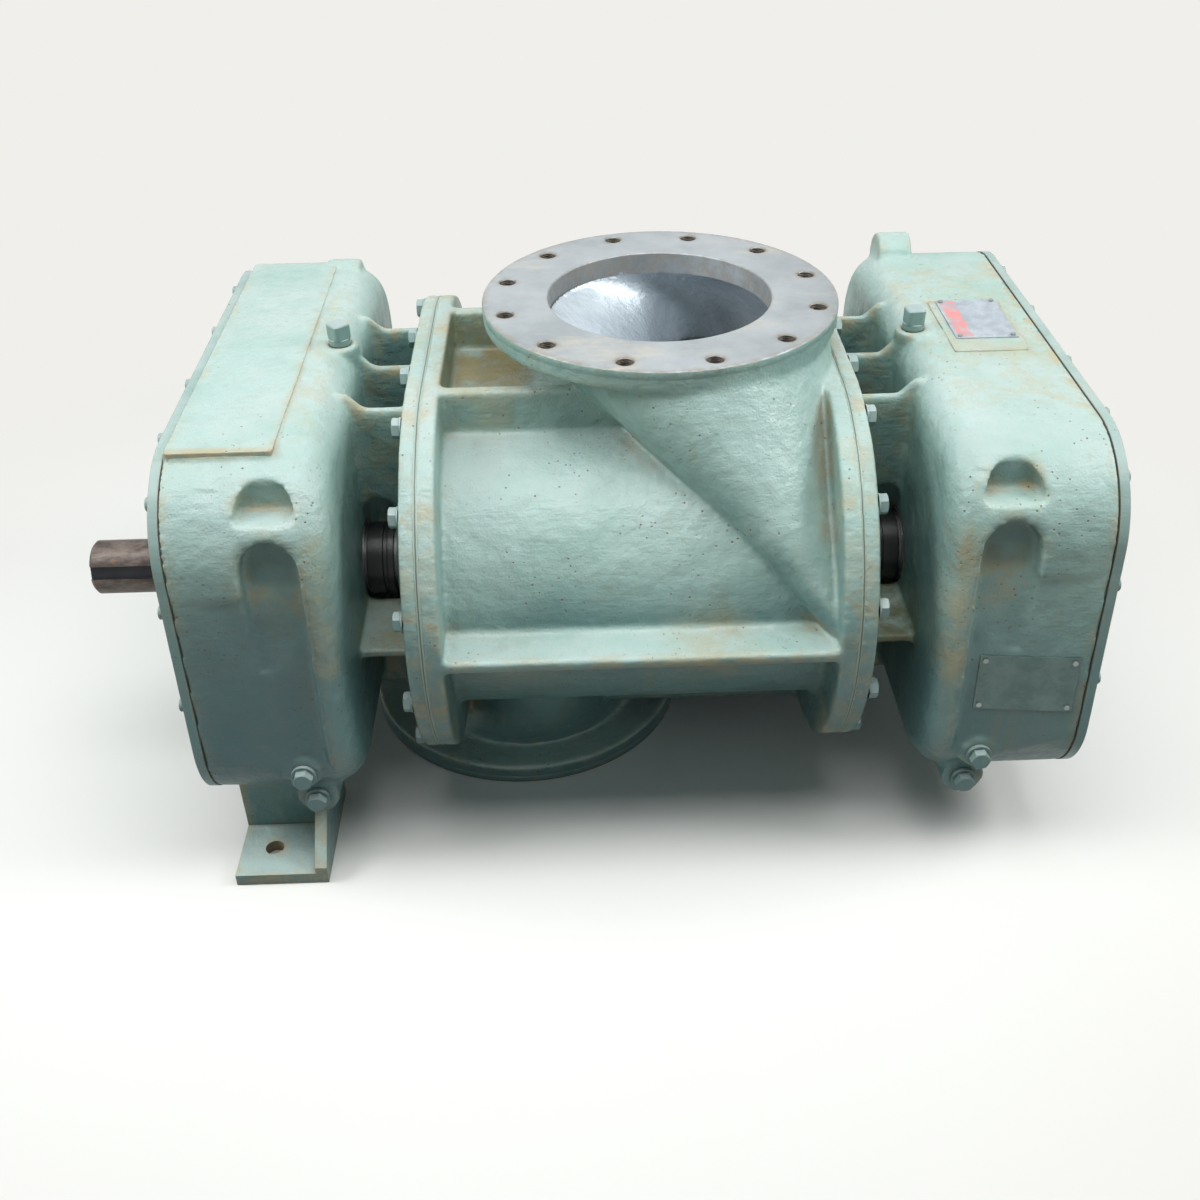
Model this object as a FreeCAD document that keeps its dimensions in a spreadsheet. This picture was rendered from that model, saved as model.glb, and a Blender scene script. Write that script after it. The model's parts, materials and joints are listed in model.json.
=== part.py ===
import FreeCAD, Part
import math
import os
import Sketcher

Vector = FreeCAD.Vector

# Driving dimensions of the blower, in millimetres and degrees
DIMENSIONS = [
    # machine
    ("axis_height", 335.0), ("centre_distance", 254.0), ("casing_centre", 168.0),
    ("casing_length", 552.0), ("gasket", 1.0),
    # casing
    ("flange_radius", 267.0), ("flange_plate", 24.0), ("casing_wall", 14.0),
    ("rib_offset", 131.0), ("rib_plate", 22.0),
    ("ledge_drop", 5.0), ("ledge_rise", 13.0),
    # ports
    ("inlet_x", 212.0), ("port_flange_radius", 241.3), ("port_flange_plate", 30.0),
    ("port_bore_radius", 152.4), ("port_circle_radius", 215.9), ("port_hole_radius", 11.1),
    ("port_hole_depth", 24.0),
    # heads
    ("head_plate", 21.0), ("neck_length", 77.0), ("head_length", 295.0), ("inner_wall", 30.0),
    ("head_top", 607.0), ("head_bottom", 105.0), ("head_top_half", 384.0), ("head_bottom_half", 418.0),
    ("top_corner", 130.0), ("bottom_corner", 115.0), ("inner_edge_round", 45.0),
    ("head_wall", 14.0), ("front_wall", 32.0), ("neck_rib", 12.0), ("neck_rib_top", 575.0),
    ("neck_web_low", 284.0), ("neck_web_half", 292.0), ("neck_flare", 20.0), ("slot_half_height", 100.0),
    ("panel_depth", 16.0), ("panel_end", 290.0), ("field_height", 350.0), ("cavity_corner", 150.0),
    ("arch_middle", 173.0), ("arch_half", 36.0), ("arch_top", 424.0), ("arch_low", 73.0),
    ("arch_lean", 4.0), ("drain_seat", 9.0), ("notch_low", 547.0), ("notch_back", 330.0),
    ("lug_out", 165.0), ("lug_height", 120.0), ("lug_face", 386.0), ("lug_radius", 29.0),
    ("rear_lug_out", 154.0), ("rear_lug_y", 300.0), ("rear_lug_width", 52.0), ("plug_out", 122.0),
    ("drive_pad_start", 164.0), ("drive_pad_half", 304.0), ("pad_rise", 4.0),
    ("plate_pad_start", 162.0), ("plate_pad_end", 262.0), ("plate_pad_half", 85.0), ("plate_pad_y", 5.0),
    ("cover_plate", 12.0),
    # fasteners
    ("head_bolt_circle", 251.0), ("head_bolt_radius", 7.9), ("head_bolt_flats", 23.8),
    ("head_bolt_head", 10.0), ("hole_play", 0.4), ("cover_screw_radius", 5.0), ("cover_screw_inset", 14.0),
    ("side_screw_inset", 20.0), ("cover_screw_head", 9.0), ("plug_square", 26.0),
    ("plate_start", 157.0),
    # shafts, seals and bearings
    ("shaft_radius", 38.1), ("bare_length", 149.0), ("shaft_end", 485.0), ("seat_radius", 39.6),
    ("seal_journal", 55.0), ("neck_journal", 46.5),
    ("bearing_journal", 45.0), ("bearing_outer", 80.0), ("bearing_width", 40.0), ("bearing_race", 9.0),
    ("boss_radius", 102.0), ("running_gap", 0.4), ("seal_ring", 7.0), ("slinger_radius", 53.0),
    ("slinger_start", 58.0), ("slinger_width", 37.0),
    ("key_width", 19.0), ("key_depth", 8.0), ("key_length", 150.0),
    ("key_angle", 18.0),
    # rotors and timing gears
    ("lobe_clearance", 0.4), ("tip_clearance", 0.8), ("end_clearance", 0.8), ("rotor_phase", 45.0),
    ("gear_teeth", 40.0), ("gear_width", 50.0), ("gear_backlash", 0.5), ("gear_start", 187.0),
    # feet
    ("foot_plate", 18.0), ("foot_width", 127.0), ("foot_front", 430.0), ("foot_web", 332.0),
    ("foot_back", 250.0), ("foot_wall", 16.0), ("foot_hole_radius", 13.0), ("foot_hole_y", 378.0),
]

doc = FreeCAD.newDocument("Blower")
sheet = doc.addObject("Spreadsheet::Sheet", "Sizes")
for row, (alias, number) in enumerate(DIMENSIONS, start=1):
    sheet.set("A%d" % row, alias)
    sheet.set("B%d" % row, repr(number))
    sheet.setAlias("B%d" % row, alias)
doc.recompute()


class Size:
    """A length with its value and the spreadsheet expression that gives it."""

    def __init__(self, value, text):
        self.value = float(value)
        self.text = text

    def joined(self, other, sign, value):
        return Size(value, "(%s %s %s)" % (self.text, sign, other.text))

    def __add__(self, other):
        other = size(other)
        return self.joined(other, "+", self.value + other.value)

    def __sub__(self, other):
        other = size(other)
        return self.joined(other, "-", self.value - other.value)

    def __mul__(self, other):
        other = size(other)
        return self.joined(other, "*", self.value * other.value)

    def __truediv__(self, other):
        other = size(other)
        return self.joined(other, "/", self.value / other.value)

    def __neg__(self):
        return Size(-self.value, "(0 - %s)" % self.text)

    __radd__ = __add__
    __rmul__ = __mul__

    def __rsub__(self, other):
        return size(other) - self


def size(number):
    """A Size from a Size or a plain number."""
    if isinstance(number, Size):
        return number
    return Size(number, "%.6f" % number)


class SheetSizes:
    """Reads any alias of the spreadsheet as a Size."""

    def __getattr__(self, alias):
        return Size(sheet.get(alias), "Sizes." + alias)


S = SheetSizes()
DRIVE = -1
FREE = 1
END_NAMES = {DRIVE: "drive_end", FREE: "free_end"}

axis_y = S.centre_distance / 2
axis_z = S.axis_height
lobe_pitch = S.centre_distance / 2
bore_radius = lobe_pitch * 1.5 - S.lobe_clearance + S.tip_clearance
barrel_radius = bore_radius + S.casing_wall
port_top = S.axis_height * 2
half_casing = S.casing_length / 2
plate_out = S.gasket + S.head_plate
wall_in = plate_out + S.neck_length
wall_out = wall_in + S.inner_wall
cover_seat = S.gasket + S.head_length
cover_in = cover_seat + S.gasket
cover_out = cover_in + S.cover_plate
bearing_in = wall_in + 15
bearing_out = bearing_in + S.bearing_width


# Placing and binding
def station(side, out):
    """X of a plane that lies out from the casing's end face, on one side of the machine."""
    if side == FREE:
        return S.casing_centre + half_casing + out
    return S.casing_centre - half_casing - out


def span(side, inner, outer):
    """Lowest and highest X of a slab between two distances from the casing's end face."""
    ends = (station(side, inner), station(side, outer))
    if side == FREE:
        return ends
    return ends[1], ends[0]


def place(item, x, y, z, axis=Vector(0, 0, 1), angle=0):
    """Binds an object's position and gives it a fixed turn."""
    x, y, z = size(x), size(y), size(z)
    item.Placement = FreeCAD.Placement(Vector(x.value, y.value, z.value), FreeCAD.Rotation(axis, angle))
    item.setExpression("Placement.Base.x", x.text)
    item.setExpression("Placement.Base.y", y.text)
    item.setExpression("Placement.Base.z", z.text)


def bind(item, prop, amount):
    item.setExpression(prop, size(amount).text)


# Plain solids
def box(name, x_range, y_range, z_range):
    item = doc.addObject("Part::Box", name)
    for prop, (low, high) in zip(("Length", "Width", "Height"), (x_range, y_range, z_range)):
        bind(item, prop, size(high) - size(low))
    place(item, x_range[0], y_range[0], z_range[0])
    return item


def cylinder(name, radius, length, x, y, z, axis=Vector(0, 0, 1), angle=0):
    item = doc.addObject("Part::Cylinder", name)
    bind(item, "Radius", radius)
    bind(item, "Height", length)
    place(item, x, y, z, axis, angle)
    return item


def rod(name, x_range, y, z, radius):
    """A round bar along X."""
    low, high = size(x_range[0]), size(x_range[1])
    return cylinder(name, radius, high - low, low, y, z, Vector(0, 1, 0), 90)


def post(name, x, y, z_range, radius):
    """A round bar along Z."""
    low, high = size(z_range[0]), size(z_range[1])
    return cylinder(name, radius, high - low, x, y, low)


def spool(name, x, y_range, z, radius):
    """A round bar along Y."""
    low, high = size(y_range[0]), size(y_range[1])
    return cylinder(name, radius, high - low, x, low, z, Vector(1, 0, 0), -90)


def nut(name, x_range, y, z, flats, sides=6, radius_factor=0.5):
    """A prism along X, six-sided for a bolt head."""
    item = doc.addObject("Part::Prism", name)
    item.Polygon = sides
    low, high = size(x_range[0]), size(x_range[1])
    bind(item, "Circumradius", size(flats) * radius_factor / math.cos(math.pi / sides))
    bind(item, "Height", high - low)
    place(item, low, y, z, Vector(0, 1, 0), 90)
    return item


def fuse(name, pieces):
    item = doc.addObject("Part::MultiFuse", name)
    item.Shapes = pieces
    item.Refine = False
    return item


def cut(name, base, tools):
    item = doc.addObject("Part::Cut", name)
    item.Base = base
    item.Tool = tools[0] if len(tools) == 1 else fuse(name + "_tools", tools)
    return item


def common(name, pieces):
    item = doc.addObject("Part::MultiCommon", name)
    item.Shapes = pieces
    item.Refine = False
    return item


def ring(name, x_range, y, z, outer, inner):
    return cut(name, rod(name + "_rim", x_range, y, z, outer), [rod(name + "_hole", x_range, y, z, inner)])


def stadium(name, x_range, radius):
    """A slab whose outline is two half circles round the rotor axes, joined by flats."""
    rounds = [rod(name + "_round_a", x_range, -axis_y, axis_z, radius),
              rod(name + "_round_b", x_range, axis_y, axis_z, radius)]
    middle = box(name + "_flat", x_range, (-axis_y, axis_y), (axis_z - radius, axis_z + radius))
    item = fuse(name, rounds + [middle])
    item.Refine = True
    return item


# Sketched plates
def draw_outline(sketch, corners):
    """Draws a closed polygon in a sketch and ties each corner to its expressions."""
    count = len(corners)
    for i, (across, up) in enumerate(corners):
        next_across, next_up = corners[(i + 1) % count]
        start = Vector(across.value, up.value, 0)
        end = Vector(next_across.value, next_up.value, 0)
        sketch.addGeometry(Part.LineSegment(start, end))
    for i, (across, up) in enumerate(corners):
        sketch.addConstraint(Sketcher.Constraint("Coincident", i, 2, (i + 1) % count, 1))
        for kind, amount in (("DistanceX", across), ("DistanceY", up)):
            index = sketch.addConstraint(Sketcher.Constraint(kind, -1, 1, i, 1, amount.value))
            sketch.setExpression("Constraints[%d]" % index, amount.text)


def sketched_body(name, plane, corners):
    """A body with one polygon sketched on one of its own planes, and a pad of it."""
    body = doc.addObject("PartDesign::Body", name)
    origin_plane = [f for f in body.Origin.OriginFeatures if f.Role == plane][0]
    sketch = body.newObject("Sketcher::SketchObject", name + "_outline")
    sketch.AttachmentSupport = [(origin_plane, "")]
    sketch.MapMode = "FlatFace"
    draw_outline(sketch, corners)
    pad = body.newObject("PartDesign::Pad", name + "_pad")
    pad.Profile = sketch
    body.Tip = pad
    return body, pad


def plate(name, corners, x_range, rounds):
    """A padded polygon in the YZ plane; rounds holds pairs of a radius and the corners it goes on."""
    corners = [(size(y), size(z)) for y, z in corners]
    body, pad = sketched_body(name, "YZ_Plane", corners)
    low, high = size(x_range[0]), size(x_range[1])
    bind(pad, "Length", high - low)
    place(body, low, 0, 0)
    doc.recompute([pad])
    last = pad
    for radius, picked in rounds:
        chosen = [corners[i] for i in picked]
        corner_edges = edges_where(
            last, lambda e: along_x(e) and any(near(e, y.value, z.value) for y, z in chosen))
        last = round_edges(body, name + "_corner", last, corner_edges, radius)
    body.Tip = last
    return body


def along_x(edge):
    return isinstance(edge.Curve, Part.Line) and abs(edge.tangentAt(edge.FirstParameter).x) > 0.999


def near(edge, y, z):
    point = edge.Vertexes[0].Point
    return abs(point.y - y) < 0.01 and abs(point.z - z) < 0.01


def edges_where(feature, test):
    return ["Edge%d" % i for i, edge in enumerate(feature.Shape.Edges, start=1) if test(edge)]


def round_edges(body, name, base, edge_names, radius):
    fillet = body.newObject("PartDesign::Fillet", name)
    fillet.Base = (base, edge_names)
    bind(fillet, "Radius", radius)
    doc.recompute([fillet])
    return fillet


def round_face_edges(body, name, base, x, radius):
    """Rounds every edge of the end face that lies at one X."""
    on_face = edges_where(base, lambda e: all(abs(v.Point.x - x.value) < 0.01 for v in e.Vertexes))
    return round_edges(body, name, base, on_face, radius)


# Ports
def oval(name, x, z, half_x, half_y):
    """A horizontal oval, longer across the machine than along it."""
    item = doc.addObject("Part::Ellipse", name)
    bind(item, "MajorRadius", half_y)
    bind(item, "MinorRadius", half_x)
    place(item, x, 0, z, Vector(0, 0, 1), 90)
    return item


def trunk(name, sections):
    """A duct through several ovals, each given as x, z, half length and half width."""
    ovals = [oval("%s_oval_%d" % (name, i), *section) for i, section in enumerate(sections, start=1)]
    item = doc.addObject("Part::Loft", name)
    item.Sections = ovals
    item.Solid = True
    item.Ruled = False
    return item


def around(count, radius, start=0.0):
    """Offsets of points equally spaced on a circle."""
    for k in range(count):
        angle = math.radians(start + 360.0 / count * k)
        yield radius * math.cos(angle), radius * math.sin(angle)


def port_holes(name, x, z_range):
    return [post("%s_%d" % (name, k), x + across, deep, z_range, S.port_hole_radius)
            for k, (across, deep) in enumerate(around(12, S.port_circle_radius, 15.0), start=1)]


def head_bolt_places():
    """Sixteen places round the end flange: six on each half circle and two on each flat."""
    places = []
    for direction in (-1, 1):
        for step in range(6):
            angle = math.radians(-75.0 + 30.0 * step)
            y = (axis_y + S.head_bolt_circle * math.cos(angle)) * direction
            places.append((y, axis_z + S.head_bolt_circle * math.sin(angle)))
        for height in (-1, 1):
            places.append((axis_y / 2 * direction, axis_z + S.head_bolt_circle * height))
    return places


def rotor_casing():
    ends = (station(DRIVE, 0), station(FREE, 0))
    inner_ends = (ends[0] + S.flange_plate, ends[1] - S.flange_plate)
    solids = [stadium("barrel", ends, barrel_radius),
              stadium("drive_flange", (ends[0], inner_ends[0]), S.flange_radius),
              stadium("free_flange", (inner_ends[1], ends[1]), S.flange_radius)]
    rib_rise = barrel_radius - 30
    for side in (-1, 1):
        rib = S.rib_offset * side
        across = (rib - S.rib_plate / 2, rib + S.rib_plate / 2)
        for name, low, high in (("top_rib", rib_rise, S.flange_radius - 2),
                                ("low_rib", 2 - S.flange_radius, -rib_rise)):
            solids.append(box(name, inner_ends, across, (axis_z + low, axis_z + high)))
        reach = (axis_y + 160, axis_y + S.flange_radius)
        edge = reach if side == 1 else (-reach[1], -reach[0])
        solids.append(box("side_ledge", inner_ends, edge, (axis_z - S.ledge_drop, axis_z + S.ledge_rise)))
    # Inlet trunk: wide under its flange, drawn over to the free end at the mid plane
    flange_under = port_top - S.port_flange_plate
    solids.append(post("inlet_flange", S.inlet_x, 0, (flange_under, port_top), S.port_flange_radius))
    shell = trunk("inlet_trunk", [(S.inlet_x + 20, flange_under + 2, 210, S.port_flange_radius - 4),
                                  (ends[1], axis_z + 6, 67, axis_y + S.flange_radius - 9)])
    keep = box("inlet_keep", (ends[0], ends[1] - 4), (-450, 450), (axis_z, port_top))
    solids.append(common("inlet_shell", [shell, keep]))
    # Discharge trunk: short and upright, under the drive end
    solids.append(post("discharge_flange", 0, 0, (0, S.port_flange_plate), S.port_flange_radius))
    neck = trunk("discharge_trunk", [(0, S.port_flange_plate, 188, 188),
                                     (24, axis_z - S.flange_radius + 12, 135, 212),
                                     (24, axis_z - 130, 135, 230)])
    overhang = box("discharge_trim", (ends[0] - 150, ends[0]), (-450, 450),
                   (axis_z - S.flange_radius - 3, axis_z))
    solids.append(cut("discharge_shell", neck, [overhang]))
    outer = fuse("casing_outer", solids)

    chamber = stadium_bores("chamber", ends)
    inlet_way = trunk("inlet_way", [(S.inlet_x, flange_under, S.port_bore_radius, S.port_bore_radius),
                                    (S.inlet_x + 103, axis_z + 165, 95, 200),
                                    (S.inlet_x + 103, axis_z + 90, 95, 200)])
    discharge_way = trunk("discharge_way", [(0, 14, S.port_bore_radius, S.port_bore_radius),
                                            (26, axis_z - S.flange_radius - 4, 112, 165),
                                            (26, axis_z - 90, 112, 190)])
    bores = [post("inlet_bore", S.inlet_x, 0, (flange_under, port_top), S.port_bore_radius),
             post("discharge_bore", 0, 0, (0, 14), S.port_bore_radius)]
    tools = [chamber, inlet_way, discharge_way] + bores
    tools += port_holes("inlet_stud_hole", S.inlet_x, (port_top - S.port_hole_depth, port_top))
    tools += port_holes("discharge_stud_hole", size(0), (0, S.port_hole_depth))
    for side, x_range in ((DRIVE, (ends[0], ends[0] + 20)), (FREE, (ends[1] - 20, ends[1]))):
        tools += [rod("casing_tapping", x_range, y, z, S.head_bolt_radius) for y, z in head_bolt_places()]
    return cut("rotor_casing", outer, tools)


def stadium_bores(name, x_range):
    return fuse(name, [rod(name + "_a", x_range, -axis_y, axis_z, bore_radius),
                       rod(name + "_b", x_range, axis_y, axis_z, bore_radius)])


# Heads, one at each end, mirror images with small differences
def case_corners(shrink_side, shrink_top):
    top = S.head_top - shrink_top
    bottom = S.head_bottom + shrink_top
    high_half = S.head_top_half - shrink_side
    low_half = S.head_bottom_half - shrink_side
    return [(-high_half, top), (high_half, top), (low_half, bottom), (-low_half, bottom)]


def case_rounds(shrink):
    return [(S.top_corner - shrink, (0, 1)), (S.bottom_corner - shrink, (2, 3))]


def gear_case(side):
    name = END_NAMES[side] + "_case"
    shell = plate(name, case_corners(0, 0), span(side, wall_in, cover_seat), case_rounds(0))
    last = shell.Tip
    inner_x = size(0) if side == FREE else cover_seat - wall_in
    shell.Tip = round_face_edges(shell, name + "_inner_edge", last, inner_x, S.inner_edge_round)
    return shell


def neck_rib(name, side, y):
    """An upright rib from the head plate, flaring up where it runs into the gear case."""
    step = size(side)
    plate_side, case_side = station(side, plate_out - 1), station(side, wall_in + S.inner_edge_round)
    flare_start = station(side, wall_in - S.neck_flare)
    low, high = S.head_bottom + 10, S.neck_rib_top
    flare_top = high + S.neck_flare
    outline = [(plate_side, low), (plate_side, high), (flare_start, high),
               (flare_start + step * S.neck_flare, flare_top), (case_side, flare_top), (case_side, low)]
    body, pad = sketched_body(name, "XZ_Plane", outline)
    pad.Midplane = True
    bind(pad, "Length", S.neck_rib)
    place(body, 0, y, 0)
    doc.recompute([pad])
    return body


def neck(side):
    """Three upright ribs, a level web and a seal housing round each shaft, all open round the slingers."""
    name = END_NAMES[side] + "_neck"
    web = box(name + "_web", span(side, plate_out - 1, wall_in + S.inner_edge_round),
              (-S.neck_web_half, S.neck_web_half), (S.neck_web_low, S.neck_web_low + S.neck_rib))
    solids = [web]
    solids += [neck_rib("%s_rib_%d" % (name, row + 2), side, axis_y * row) for row in (-1, 0, 1)]
    tools = []
    pocket_start = S.slinger_start - 4
    pocket_half = (wall_in - pocket_start) / 2
    middle = station(side, pocket_start + pocket_half)
    straight = S.slot_half_height - pocket_half
    for face in (-1, 1):
        y = axis_y * face
        across = (y - S.neck_rib, y + S.neck_rib)
        solids.append(rod(name + "_seal_housing", span(side, plate_out - 1, pocket_start - 2), y, axis_z,
                          S.seal_journal + 18))
        tools.append(rod(name + "_shaft_way", span(side, plate_out - 2, pocket_start), y, axis_z,
                         S.seal_journal + 4))
        tools.append(rod(name + "_slinger_way", span(side, pocket_start, wall_in), y, axis_z,
                         S.slinger_radius + 5))
        tools.append(box(name + "_slot", span(side, pocket_start, wall_in), across,
                         (axis_z - straight, axis_z + straight)))
        tools += [spool(name + "_slot_end", middle, across, axis_z + straight * end, pocket_half)
                  for end in (-1, 1)]
    return cut(name, fuse(name + "_webs", solids), tools)


def lean():
    """Degrees by which the front and back of a gear case lean in towards the top."""
    run = S.head_bottom_half.value - S.head_top_half.value
    return math.degrees(math.atan2(run, S.head_top.value - S.head_bottom.value))


def lay_on_wall(name, items, face):
    """Groups pieces drawn round a wall's lower corner and lays them on the leaning front or back wall."""
    group = compound(name, items)
    place(group, 0, S.head_bottom_half * face, S.head_bottom, Vector(1, 0, 0), lean() * face)
    return group


def inwards(face, outer, inner):
    """Y range between two depths behind a wall, seen from outside."""
    if face == 1:
        return -size(inner), -size(outer)
    return size(outer), size(inner)


def floor_wedge(name, side, face):
    """Space in front of a sunk floor, deep beside the neck and coming out to nothing at the cover."""
    item = doc.addObject("Part::Wedge", name)
    deep_end = S.arch_middle - S.arch_half + 10
    run_out = (S.panel_end - deep_end) / S.panel_depth * 10
    deep = span(side, deep_end - 20, deep_end)
    wide = span(side, deep_end - 20, S.panel_end + run_out)
    low, high = inwards(face, -10, S.panel_depth)
    near, far = (wide, deep) if face == -1 else (deep, wide)
    limits = (("Ymin", low), ("Ymax", high), ("Xmin", near[0]), ("Xmax", near[1]), ("X2min", far[0]),
              ("X2max", far[1]), ("Zmin", 0), ("Zmax", S.arch_top), ("Z2min", 0), ("Z2max", S.arch_top))
    for prop, limit in limits:
        bind(item, prop, limit)
    return item


def panel_tools(side):
    """The sunk arches in the front and back walls, and the notch in each upper corner."""
    name = END_NAMES[side] + "_panel"
    x_range = span(side, S.arch_middle - S.arch_half, S.arch_middle + S.arch_half)
    middle = station(side, S.arch_middle)
    arch_start = S.arch_top - S.arch_half
    low_half = S.arch_half + 4
    tools = []
    for face in (-1, 1):
        across = inwards(face, -40, 60)
        outline = [spool(name + "_arch", middle, across, arch_start, S.arch_half),
                   box(name + "_tongue", x_range, across, (S.arch_low, arch_start)),
                   spool(name + "_foot", middle, across, S.arch_low, low_half),
                   box(name + "_field", span(side, S.arch_middle, S.panel_end), across,
                       (S.arch_low, S.field_height))]
        lower = common(name + "_lower", [fuse(name + "_outline", outline),
                                         floor_wedge(name + "_wedge", side, face)])
        upper_outline = [spool(name + "_upper_arch", middle, across, arch_start, S.arch_half),
                         box(name + "_upper_tongue", x_range, across, (arch_start - 150, arch_start))]
        slab_low, slab_high = inwards(face, -60, S.panel_depth - 4)
        slab_reach = span(side, S.arch_middle - 70, S.arch_middle + 70)
        slab = box(name + "_slab", slab_reach, (slab_low, slab_high), (0, 300))
        place(slab, slab_reach[0], slab_low, arch_start - 160, Vector(1, 0, 0), S.arch_lean.value * face)
        upper = common(name + "_upper", [fuse(name + "_upper_shape", upper_outline), slab])
        tools.append(lay_on_wall(name, [lower, upper], face))
        high = (S.notch_back, 450) if face == 1 else (-450, -S.notch_back)
        arch = spool(name + "_notch_arch", middle, high, S.notch_low + 5, S.arch_half)
        over = box(name + "_notch_over", x_range, high, (S.notch_low, S.notch_low + 60))
        tools.append(common(name + "_notch", [arch, over]))
    return tools


def cavity_rounds():
    return [(S.cavity_corner, (0, 1)), (S.bottom_corner - S.front_wall / 2, (2, 3))]


def head(side):
    name = END_NAMES[side]
    solids = [gear_case(side), neck(side),
              stadium(name + "_plate", span(side, S.gasket, plate_out), S.flange_radius)]
    top = S.head_top
    solids.append(post(name + "_plug_boss", station(side, S.plug_out), 0, (top - 45, top + S.pad_rise), 25))
    for face in (-1, 1):
        reach = (335, S.lug_face) if face == 1 else (-S.lug_face, -335)
        solids.append(spool(name + "_lug", station(side, S.lug_out), reach, S.lug_height, S.lug_radius))
    rear_lug_reach = span(side, S.rear_lug_out - S.rear_lug_width / 2, S.rear_lug_out + S.rear_lug_width / 2)
    pad_height = (top - 8, top + S.pad_rise)
    if side == DRIVE:
        solids.append(box(name + "_top_pad", span(side, S.drive_pad_start, cover_seat),
                          (-S.drive_pad_half, S.drive_pad_half), pad_height))
        solids.append(rod(name + "_rear_lug", rear_lug_reach, S.rear_lug_y, top - 22, 30))
    else:
        solids.append(box(name + "_top_pad", span(side, S.plate_pad_start, S.plate_pad_end),
                          (S.plate_pad_y - S.plate_pad_half, S.plate_pad_y + S.plate_pad_half), pad_height))
        solids.append(rod(name + "_rear_lug", rear_lug_reach, S.rear_lug_y, top - 8, 36))
    outer = fuse(name + "_outer", solids)
    cavity = plate(name + "_cavity", case_corners(S.front_wall, S.head_wall),
                   span(side, wall_out, cover_seat + 5), cavity_rounds())
    hollow = cut(name + "_hollow", outer, [cavity] + panel_tools(side))
    drain_pads = []
    for face in (-1, 1):
        seat = spool(name + "_drain_boss", station(side, S.arch_middle),
                     inwards(face, S.drain_seat, S.panel_depth + 6), S.arch_low, 23)
        drain_pads.append(lay_on_wall(name + "_drain_pad", [seat], face))
    bosses = [rod(name + "_boss", span(side, wall_out - 5, bearing_out + 5), axis_y * k, axis_z, S.boss_radius)
              for k in (-1, 1)]
    tools = []
    for k in (-1, 1):
        y = axis_y * k
        seal_seat = S.seal_journal + S.running_gap + S.seal_ring
        tools.append(rod(name + "_seal_bore", span(side, 0, plate_out + 1), y, axis_z, seal_seat))
        tools.append(rod(name + "_oil_bore", span(side, wall_in - 1, bearing_in + 1), y, axis_z,
                         S.neck_journal + S.running_gap + S.seal_ring))
        tools.append(rod(name + "_bearing_bore", span(side, bearing_in, bearing_out + 10), y, axis_z,
                         S.bearing_outer))
    tools += [rod(name + "_bolt_hole", span(side, 0, plate_out + 1), y, z, S.head_bolt_radius + S.hole_play)
              for y, z in head_bolt_places()]
    tools += [rod(name + "_cover_tapping", span(side, cover_seat - 20, cover_seat), y, z, S.cover_screw_radius)
              for y, z in cover_screw_places()]
    tools.append(post(name + "_plug_tapping", station(side, S.plug_out), 0, (top - 40, top + 5), 12))
    drain = spool(name + "_drain_tapping", station(side, S.arch_middle), (0, S.panel_depth + 16), S.arch_low, 8)
    tools.append(lay_on_wall(name + "_drain_hole", [drain], -1))
    tools.append(spool(name + "_lug_tapping", station(side, S.lug_out), (-S.lug_face - 10, 18 - S.lug_face),
                       S.lug_height, 8))
    return cut(name + "_head", fuse(name + "_cored", [hollow] + bosses + drain_pads), tools)


def wall_y(z):
    """Half width of a gear case at a height, between its two corners."""
    share = (size(z) - S.head_bottom) / (S.head_top - S.head_bottom)
    return S.head_bottom_half + (S.head_top_half - S.head_bottom_half) * share


def cover_screw_places():
    """Fourteen screws just inside the cover's rim."""
    inset = S.cover_screw_inset
    high, low = S.head_top - inset, S.head_bottom + inset
    places = []
    for side in (-1, 1):
        places += [(size(85.0) * side, high), (size(235.0) * side, high),
                   (size(85.0) * side, low), (size(260.0) * side, low)]
        places += [((wall_y(z) - S.side_screw_inset) * side, size(z)) for z in (290.0, 430.0)]
        places.append(((S.head_top_half - inset - S.top_corner * 0.3) * side, high - S.top_corner * 0.27))
    return places


# Gaskets and covers
def casing_gasket(side):
    name = END_NAMES[side] + "_casing_gasket"
    x_range = span(side, 0, S.gasket)
    sheet_body = stadium(name + "_blank", x_range, S.flange_radius - 0.5)
    holes = [rod(name + "_hole", x_range, y, z, S.head_bolt_radius + S.hole_play)
             for y, z in head_bolt_places()]
    return cut(name, sheet_body, [stadium_bores(name + "_opening", x_range)] + holes)


def cover_gasket(side):
    name = END_NAMES[side] + "_cover_gasket"
    x_range = span(side, cover_seat, cover_in)
    blank = plate(name + "_blank", case_corners(0.5, 0.5), x_range, case_rounds(0.5))
    opening = plate(name + "_opening", case_corners(S.front_wall, S.head_wall + 12),
                    x_range, cavity_rounds())
    holes = [rod(name + "_hole", x_range, y, z, S.cover_screw_radius + S.hole_play)
             for y, z in cover_screw_places()]
    return cut(name, blank, [opening] + holes)


def end_cover(side):
    name = END_NAMES[side] + "_cover"
    x_range = span(side, cover_in, cover_out)
    blank = plate(name + "_blank", case_corners(0, 0), x_range, case_rounds(0))
    tools = [rod(name + "_hole", x_range, y, z, S.cover_screw_radius + S.hole_play)
             for y, z in cover_screw_places()]
    if side == DRIVE:
        tools.append(rod(name + "_shaft_hole", x_range, -axis_y, axis_z, S.seat_radius + 14))
    return cut(name, blank, tools)


# Fasteners
def hex_bolt(name, side, seat, grip, y, z, radius, flats, head):
    shank = rod(name + "_shank", span(side, seat - grip, seat), y, z, radius)
    washer = rod(name + "_washer", span(side, seat, seat + 2.5), y, z, flats * 0.6)
    hexagon = nut(name + "_hexagon", span(side, seat + 2.5, seat + 2.5 + head), y, z, flats)
    return fuse(name, [shank, washer, hexagon])


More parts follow.
